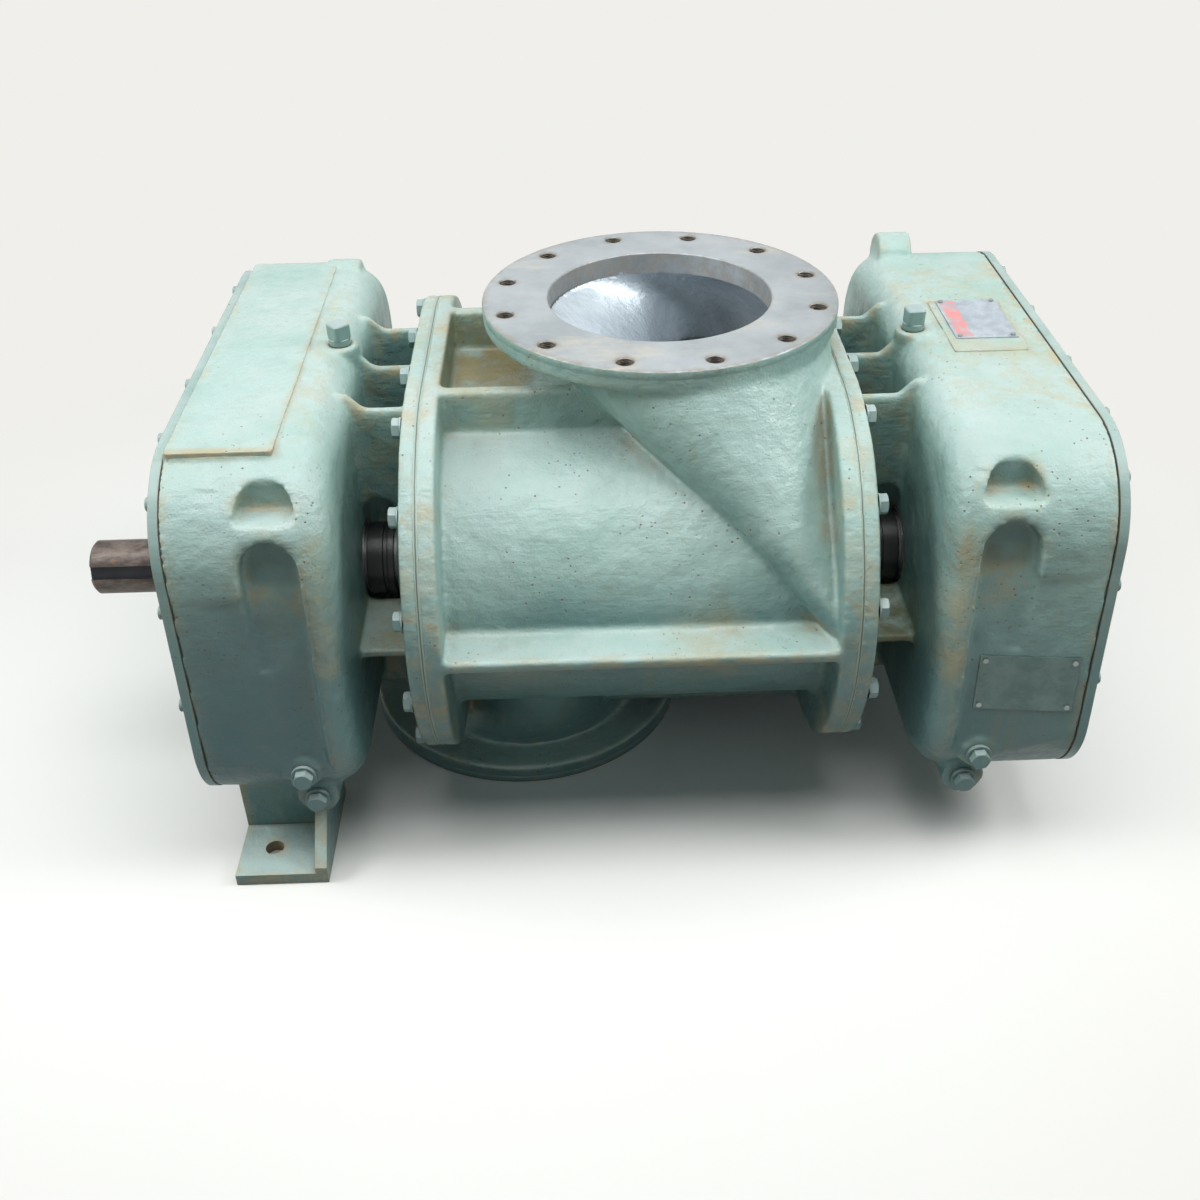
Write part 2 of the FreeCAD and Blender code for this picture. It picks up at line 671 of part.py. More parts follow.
def compound(name, items):
    group = doc.addObject("Part::Compound", name)
    group.Links = items
    return group


def head_bolts(side):
    name = END_NAMES[side] + "_head_bolt"
    bolts = [hex_bolt("%s_%d" % (name, i), side, plate_out, 40, y, z,
                      S.head_bolt_radius, S.head_bolt_flats, S.head_bolt_head)
             for i, (y, z) in enumerate(head_bolt_places(), start=1)]
    return compound(name + "s", bolts)


def cover_screws(side):
    name = END_NAMES[side] + "_cover_screw"
    screws = []
    for i, (y, z) in enumerate(cover_screw_places(), start=1):
        shank = rod("%s_%d_shank" % (name, i), span(side, cover_out - 30, cover_out), y, z,
                    S.cover_screw_radius)
        cap = rod("%s_%d_cap" % (name, i), span(side, cover_out, cover_out + S.cover_screw_head), y, z, 9)
        screws.append(fuse("%s_%d" % (name, i), [shank, cap]))
    return compound(name + "s", screws)


def fill_plug(side):
    name = END_NAMES[side] + "_fill_plug"
    x = station(side, S.plug_out)
    base = S.head_top + S.pad_rise
    half = S.plug_square / 2
    stem = post(name + "_stem", x, 0, (base - 24, base), 12)
    collar = post(name + "_collar", x, 0, (base, base + 6), 15)
    head_height = (base + 6, base + 21)
    square = box(name + "_square", (x - half, x + half), (-half, half), head_height)
    turned = post(name + "_turned", x, 0, head_height, half * 1.25)
    return fuse(name, [stem, collar, common(name + "_top", [square, turned])])


def front_bolt(name, x, z, face):
    """A hexagon bolt with washers, screwed into a face that looks to the front."""
    face = size(face)
    stem = spool(name + "_stem", x, (face, face + 18), z, 8)
    washer = spool(name + "_washer", x, (face - 5, face), z, 17)
    hexagon = doc.addObject("Part::Prism", name + "_hexagon")
    hexagon.Polygon = 6
    bind(hexagon, "Circumradius", 13.5)
    bind(hexagon, "Height", 11)
    place(hexagon, x, face - 5, z, Vector(1, 0, 0), 90)
    return fuse(name, [stem, washer, hexagon])


# Seals, bearings and what holds them
def both_axes(name, make):
    return compound(name, [make(name + "_front", -axis_y), make(name + "_back", axis_y)])


def air_seals(side):
    inner = S.seal_journal + S.running_gap
    return both_axes(END_NAMES[side] + "_air_seal_rings", lambda name, y: ring(
        name, span(side, S.gasket + 2, plate_out), y, axis_z, inner + S.seal_ring, inner))


def oil_seals(side):
    inner = S.neck_journal + S.running_gap
    return both_axes(END_NAMES[side] + "_oil_seal_rings", lambda name, y: ring(
        name, span(side, wall_in, bearing_in), y, axis_z, inner + S.seal_ring, inner))


def bearing_outer_rings(side):
    return both_axes(END_NAMES[side] + "_bearing_outer_rings", lambda name, y: ring(
        name, span(side, bearing_in, bearing_out), y, axis_z, S.bearing_outer, S.bearing_outer - S.bearing_race))


def bearing_retainers(side):
    return both_axes(END_NAMES[side] + "_bearing_retainers", lambda name, y: ring(
        name, span(side, bearing_out + 5, bearing_out + 13), y, axis_z, S.boss_radius - 4, S.bearing_outer - 8))


def shaft_seal():
    """Lip seal carrier on the drive end cover, round the drive shaft."""
    inner = S.seat_radius + S.running_gap
    carrier = ring("carrier", span(DRIVE, cover_out, cover_out + 14), -axis_y, axis_z, 78, inner + 10)
    spigot = ring("spigot", span(DRIVE, cover_in, cover_out), -axis_y, axis_z, S.seat_radius + 14, inner + 10)
    return fuse("drive_shaft_seal_carrier", [carrier, spigot])


def lip_seal():
    inner = S.seat_radius + S.running_gap
    return ring("drive_shaft_lip_seal", span(DRIVE, cover_in, cover_out + 12), -axis_y, axis_z,
                inner + 10, inner)


# Rotors and timing gears
def lobe_point(quarter, share):
    """A point of the two-lobed cycloid, set in by the lobe clearance."""
    pitch = lobe_pitch.value
    wheel = pitch / 4
    start = quarter * math.pi / 2
    roll = share * math.pi / 2
    turn = start + roll
    outward = 1 if quarter % 2 == 0 else -1
    arm = pitch + outward * wheel
    spin = turn + outward * roll * pitch / wheel
    point = Vector(arm * math.cos(turn) - outward * wheel * math.cos(spin),
                   arm * math.sin(turn) - outward * wheel * math.sin(spin), 0)
    contact = Vector(pitch * math.cos(turn), pitch * math.sin(turn), 0)
    lean = point - contact
    if lean.Length < 1e-6:
        sign = outward if share < 0.5 else -outward
        normal = Vector(math.sin(turn), -math.cos(turn), 0) * sign
    else:
        normal = lean * (outward / lean.Length)
    return point - normal * S.lobe_clearance.value


def lobes(name, y, phase):
    """The lobed part of a rotor, filling the chamber between the two heads."""
    steps = 8
    low = station(DRIVE, S.gasket - S.end_clearance).value
    high = station(FREE, S.gasket - S.end_clearance).value
    flanks = []
    for quarter in range(4):
        points = [lobe_point(quarter, step / steps) for step in range(steps + 1)]
        curve = Part.BSplineCurve()
        curve.interpolate([Vector(0, p.x, p.y) for p in points])
        flanks.append(curve.toShape())
    solid = Part.Face(Part.Wire(flanks)).extrude(Vector(high - low, 0, 0))
    item = doc.addObject("Part::Feature", name)
    item.Shape = solid
    place(item, low, y, axis_z, Vector(1, 0, 0), phase.value)
    return item


def gear_outline(teeth, pitch, backlash):
    """Closed outline of an involute gear with a tooth on the first axis, as points."""
    module = 2 * pitch / teeth
    pressure = math.radians(20)
    base = pitch * math.cos(pressure)
    tip = pitch + 0.9 * module
    root = pitch - 1.15 * module
    half_tooth = math.pi / (2 * teeth) - backlash / (2 * pitch)
    involute_at_pitch = math.tan(pressure) - pressure

    def half_angle(radius):
        lean = math.acos(min(1.0, base / radius))
        return half_tooth + involute_at_pitch - (math.tan(lean) - lean)

    start = max(base, root + 0.3)
    radii = [start, (start + pitch) / 2, pitch, (pitch + tip) / 2, tip]
    points = []
    for tooth in range(teeth):
        middle = 2 * math.pi * tooth / teeth
        rising = [(r, middle - half_angle(r)) for r in radii]
        falling = [(r, middle + half_angle(r)) for r in reversed(radii)]
        feet = half_angle(start)
        flank = [(root, middle - feet - 0.003)] + rising + falling + [(root, middle + feet + 0.003)]
        points += [Vector(0, r * math.cos(a), r * math.sin(a)) for r, a in flank]
    return points


def gear_blank(name, side, y, phase):
    points = gear_outline(int(S.gear_teeth.value), lobe_pitch.value, S.gear_backlash.value)
    low, high = span(side, S.gear_start, S.gear_start + S.gear_width)
    face = Part.Face(Part.makePolygon(points + points[:1]))
    item = doc.addObject("Part::Feature", name)
    item.Shape = face.extrude(Vector((high - low).value, 0, 0))
    place(item, low, y, axis_z, Vector(1, 0, 0), phase)
    return item


def timing_gear(name, y, phase):
    hub = rod(name + "_hub", span(FREE, S.gear_start - 10, S.gear_start + S.gear_width + 6), y, axis_z, 70)
    recess = [ring(name + "_recess", span(FREE, *reach), y, axis_z, 108, 70)
              for reach in ((S.gear_start, S.gear_start + 12),
                            (S.gear_start + S.gear_width - 12, S.gear_start + S.gear_width))]
    toothed = cut(name + "_web", gear_blank(name + "_blank", FREE, y, phase), recess)
    bore = rod(name + "_bore", span(FREE, S.gear_start - 11, S.gear_start + S.gear_width + 7), y, axis_z,
               S.seat_radius)
    return cut(name, fuse(name + "_body", [toothed, hub]), [bore])


def keyway():
    """An open slot from the shaft's end, turned to face the front and a little up."""
    x_range = span(DRIVE, S.shaft_end - S.key_length, S.shaft_end + 1)
    slot = doc.addObject("Part::Box", "keyway")
    low, high = x_range
    bind(slot, "Length", high - low)
    bind(slot, "Width", S.key_width)
    bind(slot, "Height", S.key_depth + 5)
    tilt = math.radians(S.key_angle.value)
    normal = Vector(0, -math.cos(tilt), math.sin(tilt))
    across = Vector(0, math.sin(tilt), math.cos(tilt))
    turn = FreeCAD.Rotation(Vector(1, 0, 0), across, normal, "XZY")
    depth = S.shaft_radius - S.key_depth
    y = -axis_y + depth * normal.y - S.key_width / 2 * across.y
    z = axis_z + depth * normal.z - S.key_width / 2 * across.z
    slot.Placement = FreeCAD.Placement(Vector(low.value, y.value, z.value), turn)
    for letter, amount in (("x", low), ("y", y), ("z", z)):
        slot.setExpression("Placement.Base." + letter, amount.text)
    return slot


def rotor(name, y, phase, drives):
    body = lobes(name + "_lobes", y, phase)
    steps = [body]
    for side in (DRIVE, FREE):
        steps.append(rod(name + "_seal_journal", span(side, -5, plate_out + 2), y, axis_z, S.seal_journal))
        steps.append(rod(name + "_neck_journal", span(side, plate_out, bearing_in), y, axis_z, S.neck_journal))
        steps.append(rod(name + "_bearing_journal", span(side, bearing_in - 2, bearing_out + 3), y, axis_z,
                         S.bearing_journal))
    steps.append(rod(name + "_gear_seat", span(FREE, bearing_out, S.gear_start + S.gear_width + 30), y, axis_z,
                     S.seat_radius))
    if not drives:
        steps.append(rod(name + "_nut_seat", span(DRIVE, bearing_out, bearing_out + 24), y, axis_z,
                         S.seat_radius))
        return fuse(name, steps)
    bare_start = S.shaft_end - S.bare_length - 4
    steps.append(rod(name + "_seal_sleeve", span(DRIVE, bearing_out, bare_start - 1.2), y, axis_z,
                     S.seat_radius))
    steps.append(rod(name + "_relief", span(DRIVE, bearing_out, bare_start + 1), y, axis_z,
                     S.shaft_radius - 0.6))
    extension = rod(name + "_extension", span(DRIVE, bare_start, S.shaft_end - 4), y, axis_z, S.shaft_radius)
    seam_in_keyway = FreeCAD.Rotation(Vector(1, 0, 0), -90 - S.key_angle.value)
    turn = seam_in_keyway * FreeCAD.Rotation(Vector(0, 1, 0), 90)
    place(extension, station(DRIVE, S.shaft_end - 4), y, axis_z, turn.Axis, math.degrees(turn.Angle))
    steps.append(extension)
    tip = doc.addObject("Part::Cone", name + "_tip")
    bind(tip, "Radius1", S.shaft_radius)
    bind(tip, "Radius2", S.shaft_radius - 4)
    bind(tip, "Height", 4)
    place(tip, station(DRIVE, S.shaft_end - 4), y, axis_z, Vector(0, 1, 0), -90)
    return cut(name, fuse(name + "_turned", steps + [tip]), [keyway()])


def slingers(name, y):
    groove = 6.0
    rings = []
    for side in (DRIVE, FREE):
        start = S.slinger_start
        full = ring("%s_%s" % (name, END_NAMES[side]), span(side, start, start + S.slinger_width), y, axis_z,
                    S.slinger_radius, S.neck_journal)
        groove_reach = span(side, start + 9, start + 9 + groove)
        notch = ring("%s_%s_notch" % (name, END_NAMES[side]), groove_reach, y, axis_z,
                     S.slinger_radius + 1, S.slinger_radius - 2.5)
        rings.append(cut("%s_%s_grooved" % (name, END_NAMES[side]), full, [notch]))
    return compound(name, rings)


def bearing_inner_rings(name, y):
    return compound(name, [ring("%s_%s" % (name, END_NAMES[side]), span(side, bearing_in, bearing_out), y, axis_z,
                                S.bearing_journal + S.bearing_race, S.bearing_journal)
                           for side in (DRIVE, FREE)])


def bearing_rollers(name, side, y):
    """A ring of rollers between the two races, kept in step by a cage."""
    middle = (S.bearing_outer + S.bearing_journal) / 2
    roller = (S.bearing_outer - S.bearing_journal) / 2 - S.bearing_race - 0.3
    x_range = span(side, bearing_in + 5, bearing_out - 5)
    cage = ring(name + "_cage", x_range, y, axis_z, middle + 3, middle - 3)
    rollers = [rod("%s_%d" % (name, k), x_range, y + across, axis_z + up, roller)
               for k, (across, up) in enumerate(around(14, middle), start=1)]
    return fuse(name, [cage] + rollers)


def locknuts(name, y):
    nuts = []
    for side in (DRIVE, FREE):
        label = "%s_%s" % (name, END_NAMES[side])
        seat = bearing_out + 3
        nuts.append(ring(label + "_bearing_nut", span(side, seat, seat + 14), y, axis_z, 58, S.seat_radius))
    end = S.gear_start + S.gear_width + 6
    body = nut(name + "_gear_nut_body", span(FREE, end, end + 18), y, axis_z, 98, sides=8)
    bore = rod(name + "_gear_nut_bore", span(FREE, end, end + 18), y, axis_z, S.seat_radius)
    return compound(name, nuts + [cut(name + "_gear_nut", body, [bore])])


# Feet under the drive end head
def foot(name, face):
    """A base plate, an upright web and an inner gusset; face is -1 in front and 1 behind."""
    outer = station(DRIVE, 287)
    inner = outer + S.foot_width

    def across(near_side, far_side):
        return (near_side, far_side) if face == 1 else (-far_side, -near_side)

    top = S.head_bottom
    base = box(name + "_base", (outer, inner), across(S.foot_back, S.foot_front), (0, S.foot_plate))
    web = box(name + "_web", (outer, inner), across(S.foot_web - S.foot_wall, S.foot_web), (0, top))
    pad = box(name + "_pad", (outer, inner), across(S.foot_back, S.foot_web), (top - 12, top))
    gusset = plate(name + "_gusset",
                   [((S.foot_back * face), size(0)), (S.foot_front * face, size(0)),
                    (S.foot_front * face, S.foot_plate + 10), ((S.foot_front - 75) * face, top),
                    (S.foot_back * face, top)],
                   (inner - S.foot_wall, inner), [])
    lug_room = spool(name + "_lug_room", station(DRIVE, S.lug_out), across(330, S.foot_front + 1),
                     S.lug_height, S.lug_radius + 3)
    middle = outer + 46
    hole = post(name + "_hole", middle, S.foot_hole_y * face, (-1, S.foot_plate + 1), S.foot_hole_radius)
    bolts = [post(name + "_pad_hole", outer + reach, (S.foot_back + 30) * face, (top - 13, top + 1), 8.4)
             for reach in (30, 85)]
    return cut(name, fuse(name + "_shape", [base, web, pad, gusset]), [lug_room, hole] + bolts)


def foot_bolts():
    outer = station(DRIVE, 287)
    bolts = []
    for face in (-1, 1):
        for reach in (30, 85):
            y = (S.foot_back + 30) * face
            name = "foot_bolt_%d_%d" % (face + 1, reach)
            low = S.head_bottom - 12
            stem = post(name + "_stem", outer + reach, y, (low, S.head_bottom), 8)
            hexagon = doc.addObject("Part::Prism", name + "_hexagon")
            hexagon.Polygon = 6
            bind(hexagon, "Circumradius", 13.8)
            bind(hexagon, "Height", 10)
            place(hexagon, outer + reach, y, low - 10)
            bolts.append(fuse(name, [stem, hexagon]))
    return compound("foot_bolts", bolts)


# Plates with their drive screws
def rating_plate():
    x_range = span(FREE, 173, 258)
    return box("rating_plate", x_range, (-42, 86), (S.head_top + S.pad_rise, S.head_top + S.pad_rise + 1.5))


def on_panel_floor(name, items):
    """Lays pieces on the sunk floor at the free end's front; x is 0 at the plate's edge, y at the floor."""
    slope = S.panel_depth / (S.panel_end - S.arch_middle + S.arch_half - 10)
    group = compound(name + "_flat", items)
    place(group, station(FREE, S.plate_start), slope * (S.panel_end - S.plate_start), 0,
          Vector(0, 0, 1), -math.degrees(math.atan(slope.value)))
    return lay_on_wall(name, [group], -1)


def blank_plate():
    return on_panel_floor("blank_plate", [box("blank", (0, 126), (-1.5, 0), (147, 230))])


def plate_pins():
    top = S.head_top + S.pad_rise + 1.5
    on_top = [post("pin_top", station(FREE, out), y, (top, top + 2.5), 3.5)
              for out in (179, 252) for y in (-36, 80)]
    in_front = [spool("pin_front", size(across), (-4, -1.5), up, 3.5)
                for across in (7, 119) for up in (154, 223)]
    return compound("plate_drive_screws", on_top + [on_panel_floor("pins_front", in_front)])


# Assembly
nodes = {}


def add(item):
    nodes[item.Label] = item


def name_item(item, label):
    item.Label = label
    add(item)


name_item(rotor_casing(), "rotor_casing")
for side in (DRIVE, FREE):
    end = END_NAMES[side]
    for maker in (head, casing_gasket, cover_gasket, end_cover, head_bolts, cover_screws, fill_plug,
                  air_seals, oil_seals, bearing_outer_rings, bearing_retainers):
        add(maker(side))
    drain = front_bolt(end + "_drain", station(side, S.arch_middle), S.arch_low, S.drain_seat)
    add(lay_on_wall(end + "_drain_bolt", [drain], -1))
    add(front_bolt(end + "_lug_bolt", station(side, S.lug_out), S.lug_height, -S.lug_face))
add(shaft_seal())
add(lip_seal())
for name, y, phase, gear_phase in (("drive", -axis_y, S.rotor_phase, 0.0),
                                   ("driven", axis_y, -S.rotor_phase, 180.0 / S.gear_teeth.value)):
    name_item(rotor(name + "_rotor", y, phase, name == "drive"), name + "_rotor")
    name_item(timing_gear(name + "_timing_gear", y, gear_phase), name + "_timing_gear")
    add(slingers(name + "_oil_slingers", y))
    add(bearing_inner_rings(name + "_bearing_inner_rings", y))
    add(locknuts(name + "_shaft_locknuts", y))
    for side in (DRIVE, FREE):
        add(bearing_rollers("%s_%s_rollers" % (name, END_NAMES[side]), side, y))
add(foot("front_foot", -1))
add(foot("back_foot", 1))
add(foot_bolts())
add(rating_plate())
add(blank_plate())
add(plate_pins())

doc.recompute()
for item in doc.Objects:
    if "Invalid" in item.State or "Error" in item.State:
        raise RuntimeError("%s did not build" % item.Label)
for label, item in nodes.items():
    if item.Shape.isNull() or not item.Shape.isValid():
        raise RuntimeError("%s has no valid shape" % label)

os.makedirs("parts", exist_ok=True)
for label, item in nodes.items():
    item.Shape.exportStep("parts/%s.step" % label)
    print(label, len(item.Shape.Solids), round(item.Shape.Volume))
print(len(nodes), "nodes")
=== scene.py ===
# %% [markdown]
# # A two-lobe rotary blower, dressed for a studio picture
# The frame holds every machined and cast piece at its real size, in metres, with +Z up. This lesson keeps
# those places and adds what a real machine has on top of them: soft foundry edges, old green enamel with
# rust in its corners, threads in the tapped holes and proper bolt heads.

# %% Set up
import json
import math

import bmesh
import bpy
import numpy as np
from mathutils import Matrix, Vector, noise


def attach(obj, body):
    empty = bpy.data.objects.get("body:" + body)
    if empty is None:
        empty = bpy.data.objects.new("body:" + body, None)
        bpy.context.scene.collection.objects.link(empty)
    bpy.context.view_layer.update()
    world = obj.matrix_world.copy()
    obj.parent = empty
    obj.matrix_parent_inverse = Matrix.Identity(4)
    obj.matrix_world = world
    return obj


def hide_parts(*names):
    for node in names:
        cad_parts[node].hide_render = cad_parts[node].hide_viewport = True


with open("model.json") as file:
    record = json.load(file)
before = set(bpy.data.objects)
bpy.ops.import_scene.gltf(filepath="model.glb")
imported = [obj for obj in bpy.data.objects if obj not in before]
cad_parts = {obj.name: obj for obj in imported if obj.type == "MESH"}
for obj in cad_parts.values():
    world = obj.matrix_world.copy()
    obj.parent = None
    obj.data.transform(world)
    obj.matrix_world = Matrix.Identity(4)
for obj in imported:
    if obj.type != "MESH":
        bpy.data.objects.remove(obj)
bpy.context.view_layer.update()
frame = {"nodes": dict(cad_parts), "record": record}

nodes = frame["nodes"]

# %% [markdown]
# ## The camera
# The machine is seen from in front, a little right of the drive end, and from well above. The camera's place
# and turn come from a fit to the round flanges and the bolt rows. A camera could also be aimed with a Track To
# constraint, but a fitted view has a slight roll, so the rotation is built from three named angles instead.

# %% Camera
SENSOR_WIDTH, LENS = 36.0, 39.76
CAMERA_PLACE = (0.0954, -1.7096, 1.3828)
CAMERA_YAW, CAMERA_PITCH, CAMERA_ROLL = 0.9142, 35.5656, -1.1653


def aim(yaw, pitch, roll):
    """Camera rotation from a turn to the right, a tilt down and a roll, in degrees."""
    yaw, pitch, roll = (math.radians(a) for a in (yaw, pitch, roll))
    ahead = Vector((math.sin(yaw) * math.cos(pitch), math.cos(yaw) * math.cos(pitch), -math.sin(pitch)))
    level = Vector((math.cos(yaw), -math.sin(yaw), 0.0))
    top = level.cross(ahead)
    right = level * math.cos(roll) + top * math.sin(roll)
    up = top * math.cos(roll) - level * math.sin(roll)
    return Matrix((right, up, -ahead)).transposed()


camera_data = bpy.data.cameras.new("camera")
camera_data.sensor_width = SENSOR_WIDTH
camera_data.lens = LENS
camera = bpy.data.objects.new("camera", camera_data)
camera.matrix_world = Matrix.Translation(CAMERA_PLACE) @ aim(CAMERA_YAW, CAMERA_PITCH, CAMERA_ROLL).to_4x4()
bpy.context.scene.collection.objects.link(camera)
bpy.context.scene.camera = camera
bpy.context.scene.view_settings.view_transform = "Standard"
print("camera at", [round(v, 3) for v in camera.location])

# %% [markdown]
# ## Floor and light
# A pale floor and world stand for the studio. Raising the lamps until the paper turns white would wash out the
# enamel. So the camera, and any mirror, sees the paper as plain off-white by the Light Path node, while the light
# that it sends onto the machine stays modest, as the dark boards of a workshop would send it.

# %% Node helpers for the studio
PAPER = (0.871, 0.863, 0.831, 1.0)
SENT_BACK = (0.30, 0.28, 0.25, 1.0)
FILL, FILL_STRENGTH = (0.80, 0.94, 1.0, 1.0), 0.17


def new_tree(name):
    material = bpy.data.materials.new(name)
    material.use_nodes = True
    tree = material.node_tree
    tree.nodes.clear()
    return material, tree


def add_node(tree, kind, inputs=None, **settings):
    """A new node, with its settings and the values of its unlinked inputs."""
    node = tree.nodes.new(kind)
    for key, value in settings.items():
        setattr(node, key, value)
    for key, value in (inputs or {}).items():
        node.inputs[key].default_value = value
    return node


def seen_directly(tree):
    """1 where the camera, a mirror or a pane looks straight at the paper, 0 for the light it sends out."""
    path = add_node(tree, "ShaderNodeLightPath")
    either = path.outputs["Is Camera Ray"]
    for kind in ("Is Glossy Ray", "Is Transmission Ray"):
        larger = add_node(tree, "ShaderNodeMath", operation="MAXIMUM")
        tree.links.new(either, larger.inputs[0])
        tree.links.new(path.outputs[kind], larger.inputs[1])
        either = larger.outputs[0]
    return either


# %% World
world = bpy.data.worlds.new("studio")
bpy.context.scene.world = world
world.use_nodes = True
sky = world.node_tree
sky.nodes.clear()
paper_light = add_node(sky, "ShaderNodeBackground", {"Color": PAPER})
soft_fill = add_node(sky, "ShaderNodeBackground", {"Color": FILL, "Strength": FILL_STRENGTH})
choose = add_node(sky, "ShaderNodeMixShader")
world_out = add_node(sky, "ShaderNodeOutputWorld")
for source, target in ((seen_directly(sky), choose.inputs["Fac"]),
                       (soft_fill.outputs[0], choose.inputs[1]),
                       (paper_light.outputs[0], choose.inputs[2]),
                       (choose.outputs[0], world_out.inputs["Surface"])):
    sky.links.new(source, target)
print("world fill at", FILL_STRENGTH)

# %% Floor
FLOOR_HALF, FLOOR_DROP = 9, -0.0005
FADE_FROM, FADE_TO = 0.7, 1.5

floor_mesh = bpy.data.meshes.new("studio_floor")
floor_mesh.from_pydata([(x * FLOOR_HALF, y * FLOOR_HALF, FLOOR_DROP) for x, y in ((-1, -1), (1, -1), (1, 1), (-1, 1))],
                       [], [(0, 1, 2, 3)])
floor = bpy.data.objects.new("studio_floor", floor_mesh)
bpy.context.scene.collection.objects.link(floor)
floor_material, ground = new_tree("studio_paper")
paper = add_node(ground, "ShaderNodeBsdfPrincipled", {"Roughness": 0.9})
paper_colour = add_node(ground, "ShaderNodeMix", data_type="RGBA")
paper_colour.inputs[6].default_value = SENT_BACK
paper_colour.inputs[7].default_value = PAPER
glow = add_node(ground, "ShaderNodeEmission", {"Color": PAPER})
blend_in = add_node(ground, "ShaderNodeMixShader")
from_middle = add_node(ground, "ShaderNodeTexCoord")
reach = add_node(ground, "ShaderNodeVectorMath", operation="LENGTH")
fade = add_node(ground, "ShaderNodeMapRange", {"From Min": FADE_FROM, "From Max": FADE_TO})
glows = add_node(ground, "ShaderNodeMath", operation="MULTIPLY")
floor_out = add_node(ground, "ShaderNodeOutputMaterial")
direct = seen_directly(ground)
for source, target in ((from_middle.outputs["Object"], reach.inputs[0]),
                       (reach.outputs["Value"], fade.inputs["Value"]),
                       (fade.outputs[0], glows.inputs[0]),
                       (direct, glows.inputs[1]),
                       (direct, paper_colour.inputs[0]),
                       (paper_colour.outputs[2], paper.inputs["Base Color"]),
                       (glows.outputs[0], blend_in.inputs["Fac"]),
                       (paper.outputs[0], blend_in.inputs[1]),
                       (glow.outputs[0], blend_in.inputs[2]),
                       (blend_in.outputs[0], floor_out.inputs["Surface"])):
    ground.links.new(source, target)
floor_mesh.materials.append(floor_material)
print("floor laid, from", FADE_FROM, "m on it fades into the paper's own colour")

# %% [markdown]
# ### Lamps
# A wide panel overhead, a little towards the viewer, gives the bright tops and dim fronts of a machine under
# ceiling lights. A panel at each side reaches the faces that the heads turn to the casing, and a weak one behind
# draws the far edges. Area lamps are used because their size sets how soft the shadows are.

# %% Lamps
DAYLIGHT, COOL = (0.99, 1.0, 1.0), (0.93, 0.97, 1.0)
LAMPS = (
    # name, place, target, width, depth, watts, colour
    ("ceiling_panel", (0.17, -0.62, 2.75), (0.17, -0.05, 0.4), 2.4, 1.2, 45.0, DAYLIGHT),
    ("left_panel", (-2.1, -0.35, 2.1), (0.3, -0.15, 0.4), 1.1, 1.1, 41.0, DAYLIGHT),
    ("right_panel", (2.45, -0.35, 2.1), (0.0, -0.15, 0.4), 1.1, 1.1, 41.0, DAYLIGHT),
    ("back_panel", (0.1, 2.2, 2.4), (0.17, 0.1, 0.4), 1.4, 1.4, 9.0, COOL),
)
for lamp_name, place, target, width, depth, watts, colour in LAMPS:
    lamp_data = bpy.data.lights.new(lamp_name, "AREA")
    lamp_data.shape = "RECTANGLE"
    lamp_data.size, lamp_data.size_y = width, depth
    lamp_data.energy, lamp_data.color = watts, colour
    lamp = bpy.data.objects.new(lamp_name, lamp_data)
    lamp.location = place
    lamp.rotation_euler = (Vector(target) - Vector(place)).to_track_quat("-Z", "Y").to_euler()
    bpy.context.scene.collection.objects.link(lamp)
print("studio lit with", len(LAMPS), "lamps")

# %% [markdown]
# ## Finishes
# A finish could be painted on an image and wrapped round each piece, but castings have no good seams to unwrap.
# Every finish below is built from noise on object coordinates instead, so it stays put from any side. A few small
# helpers keep the node code short: masks are numbers from 0 to 1, and tint lays a tone over a colour by a mask.

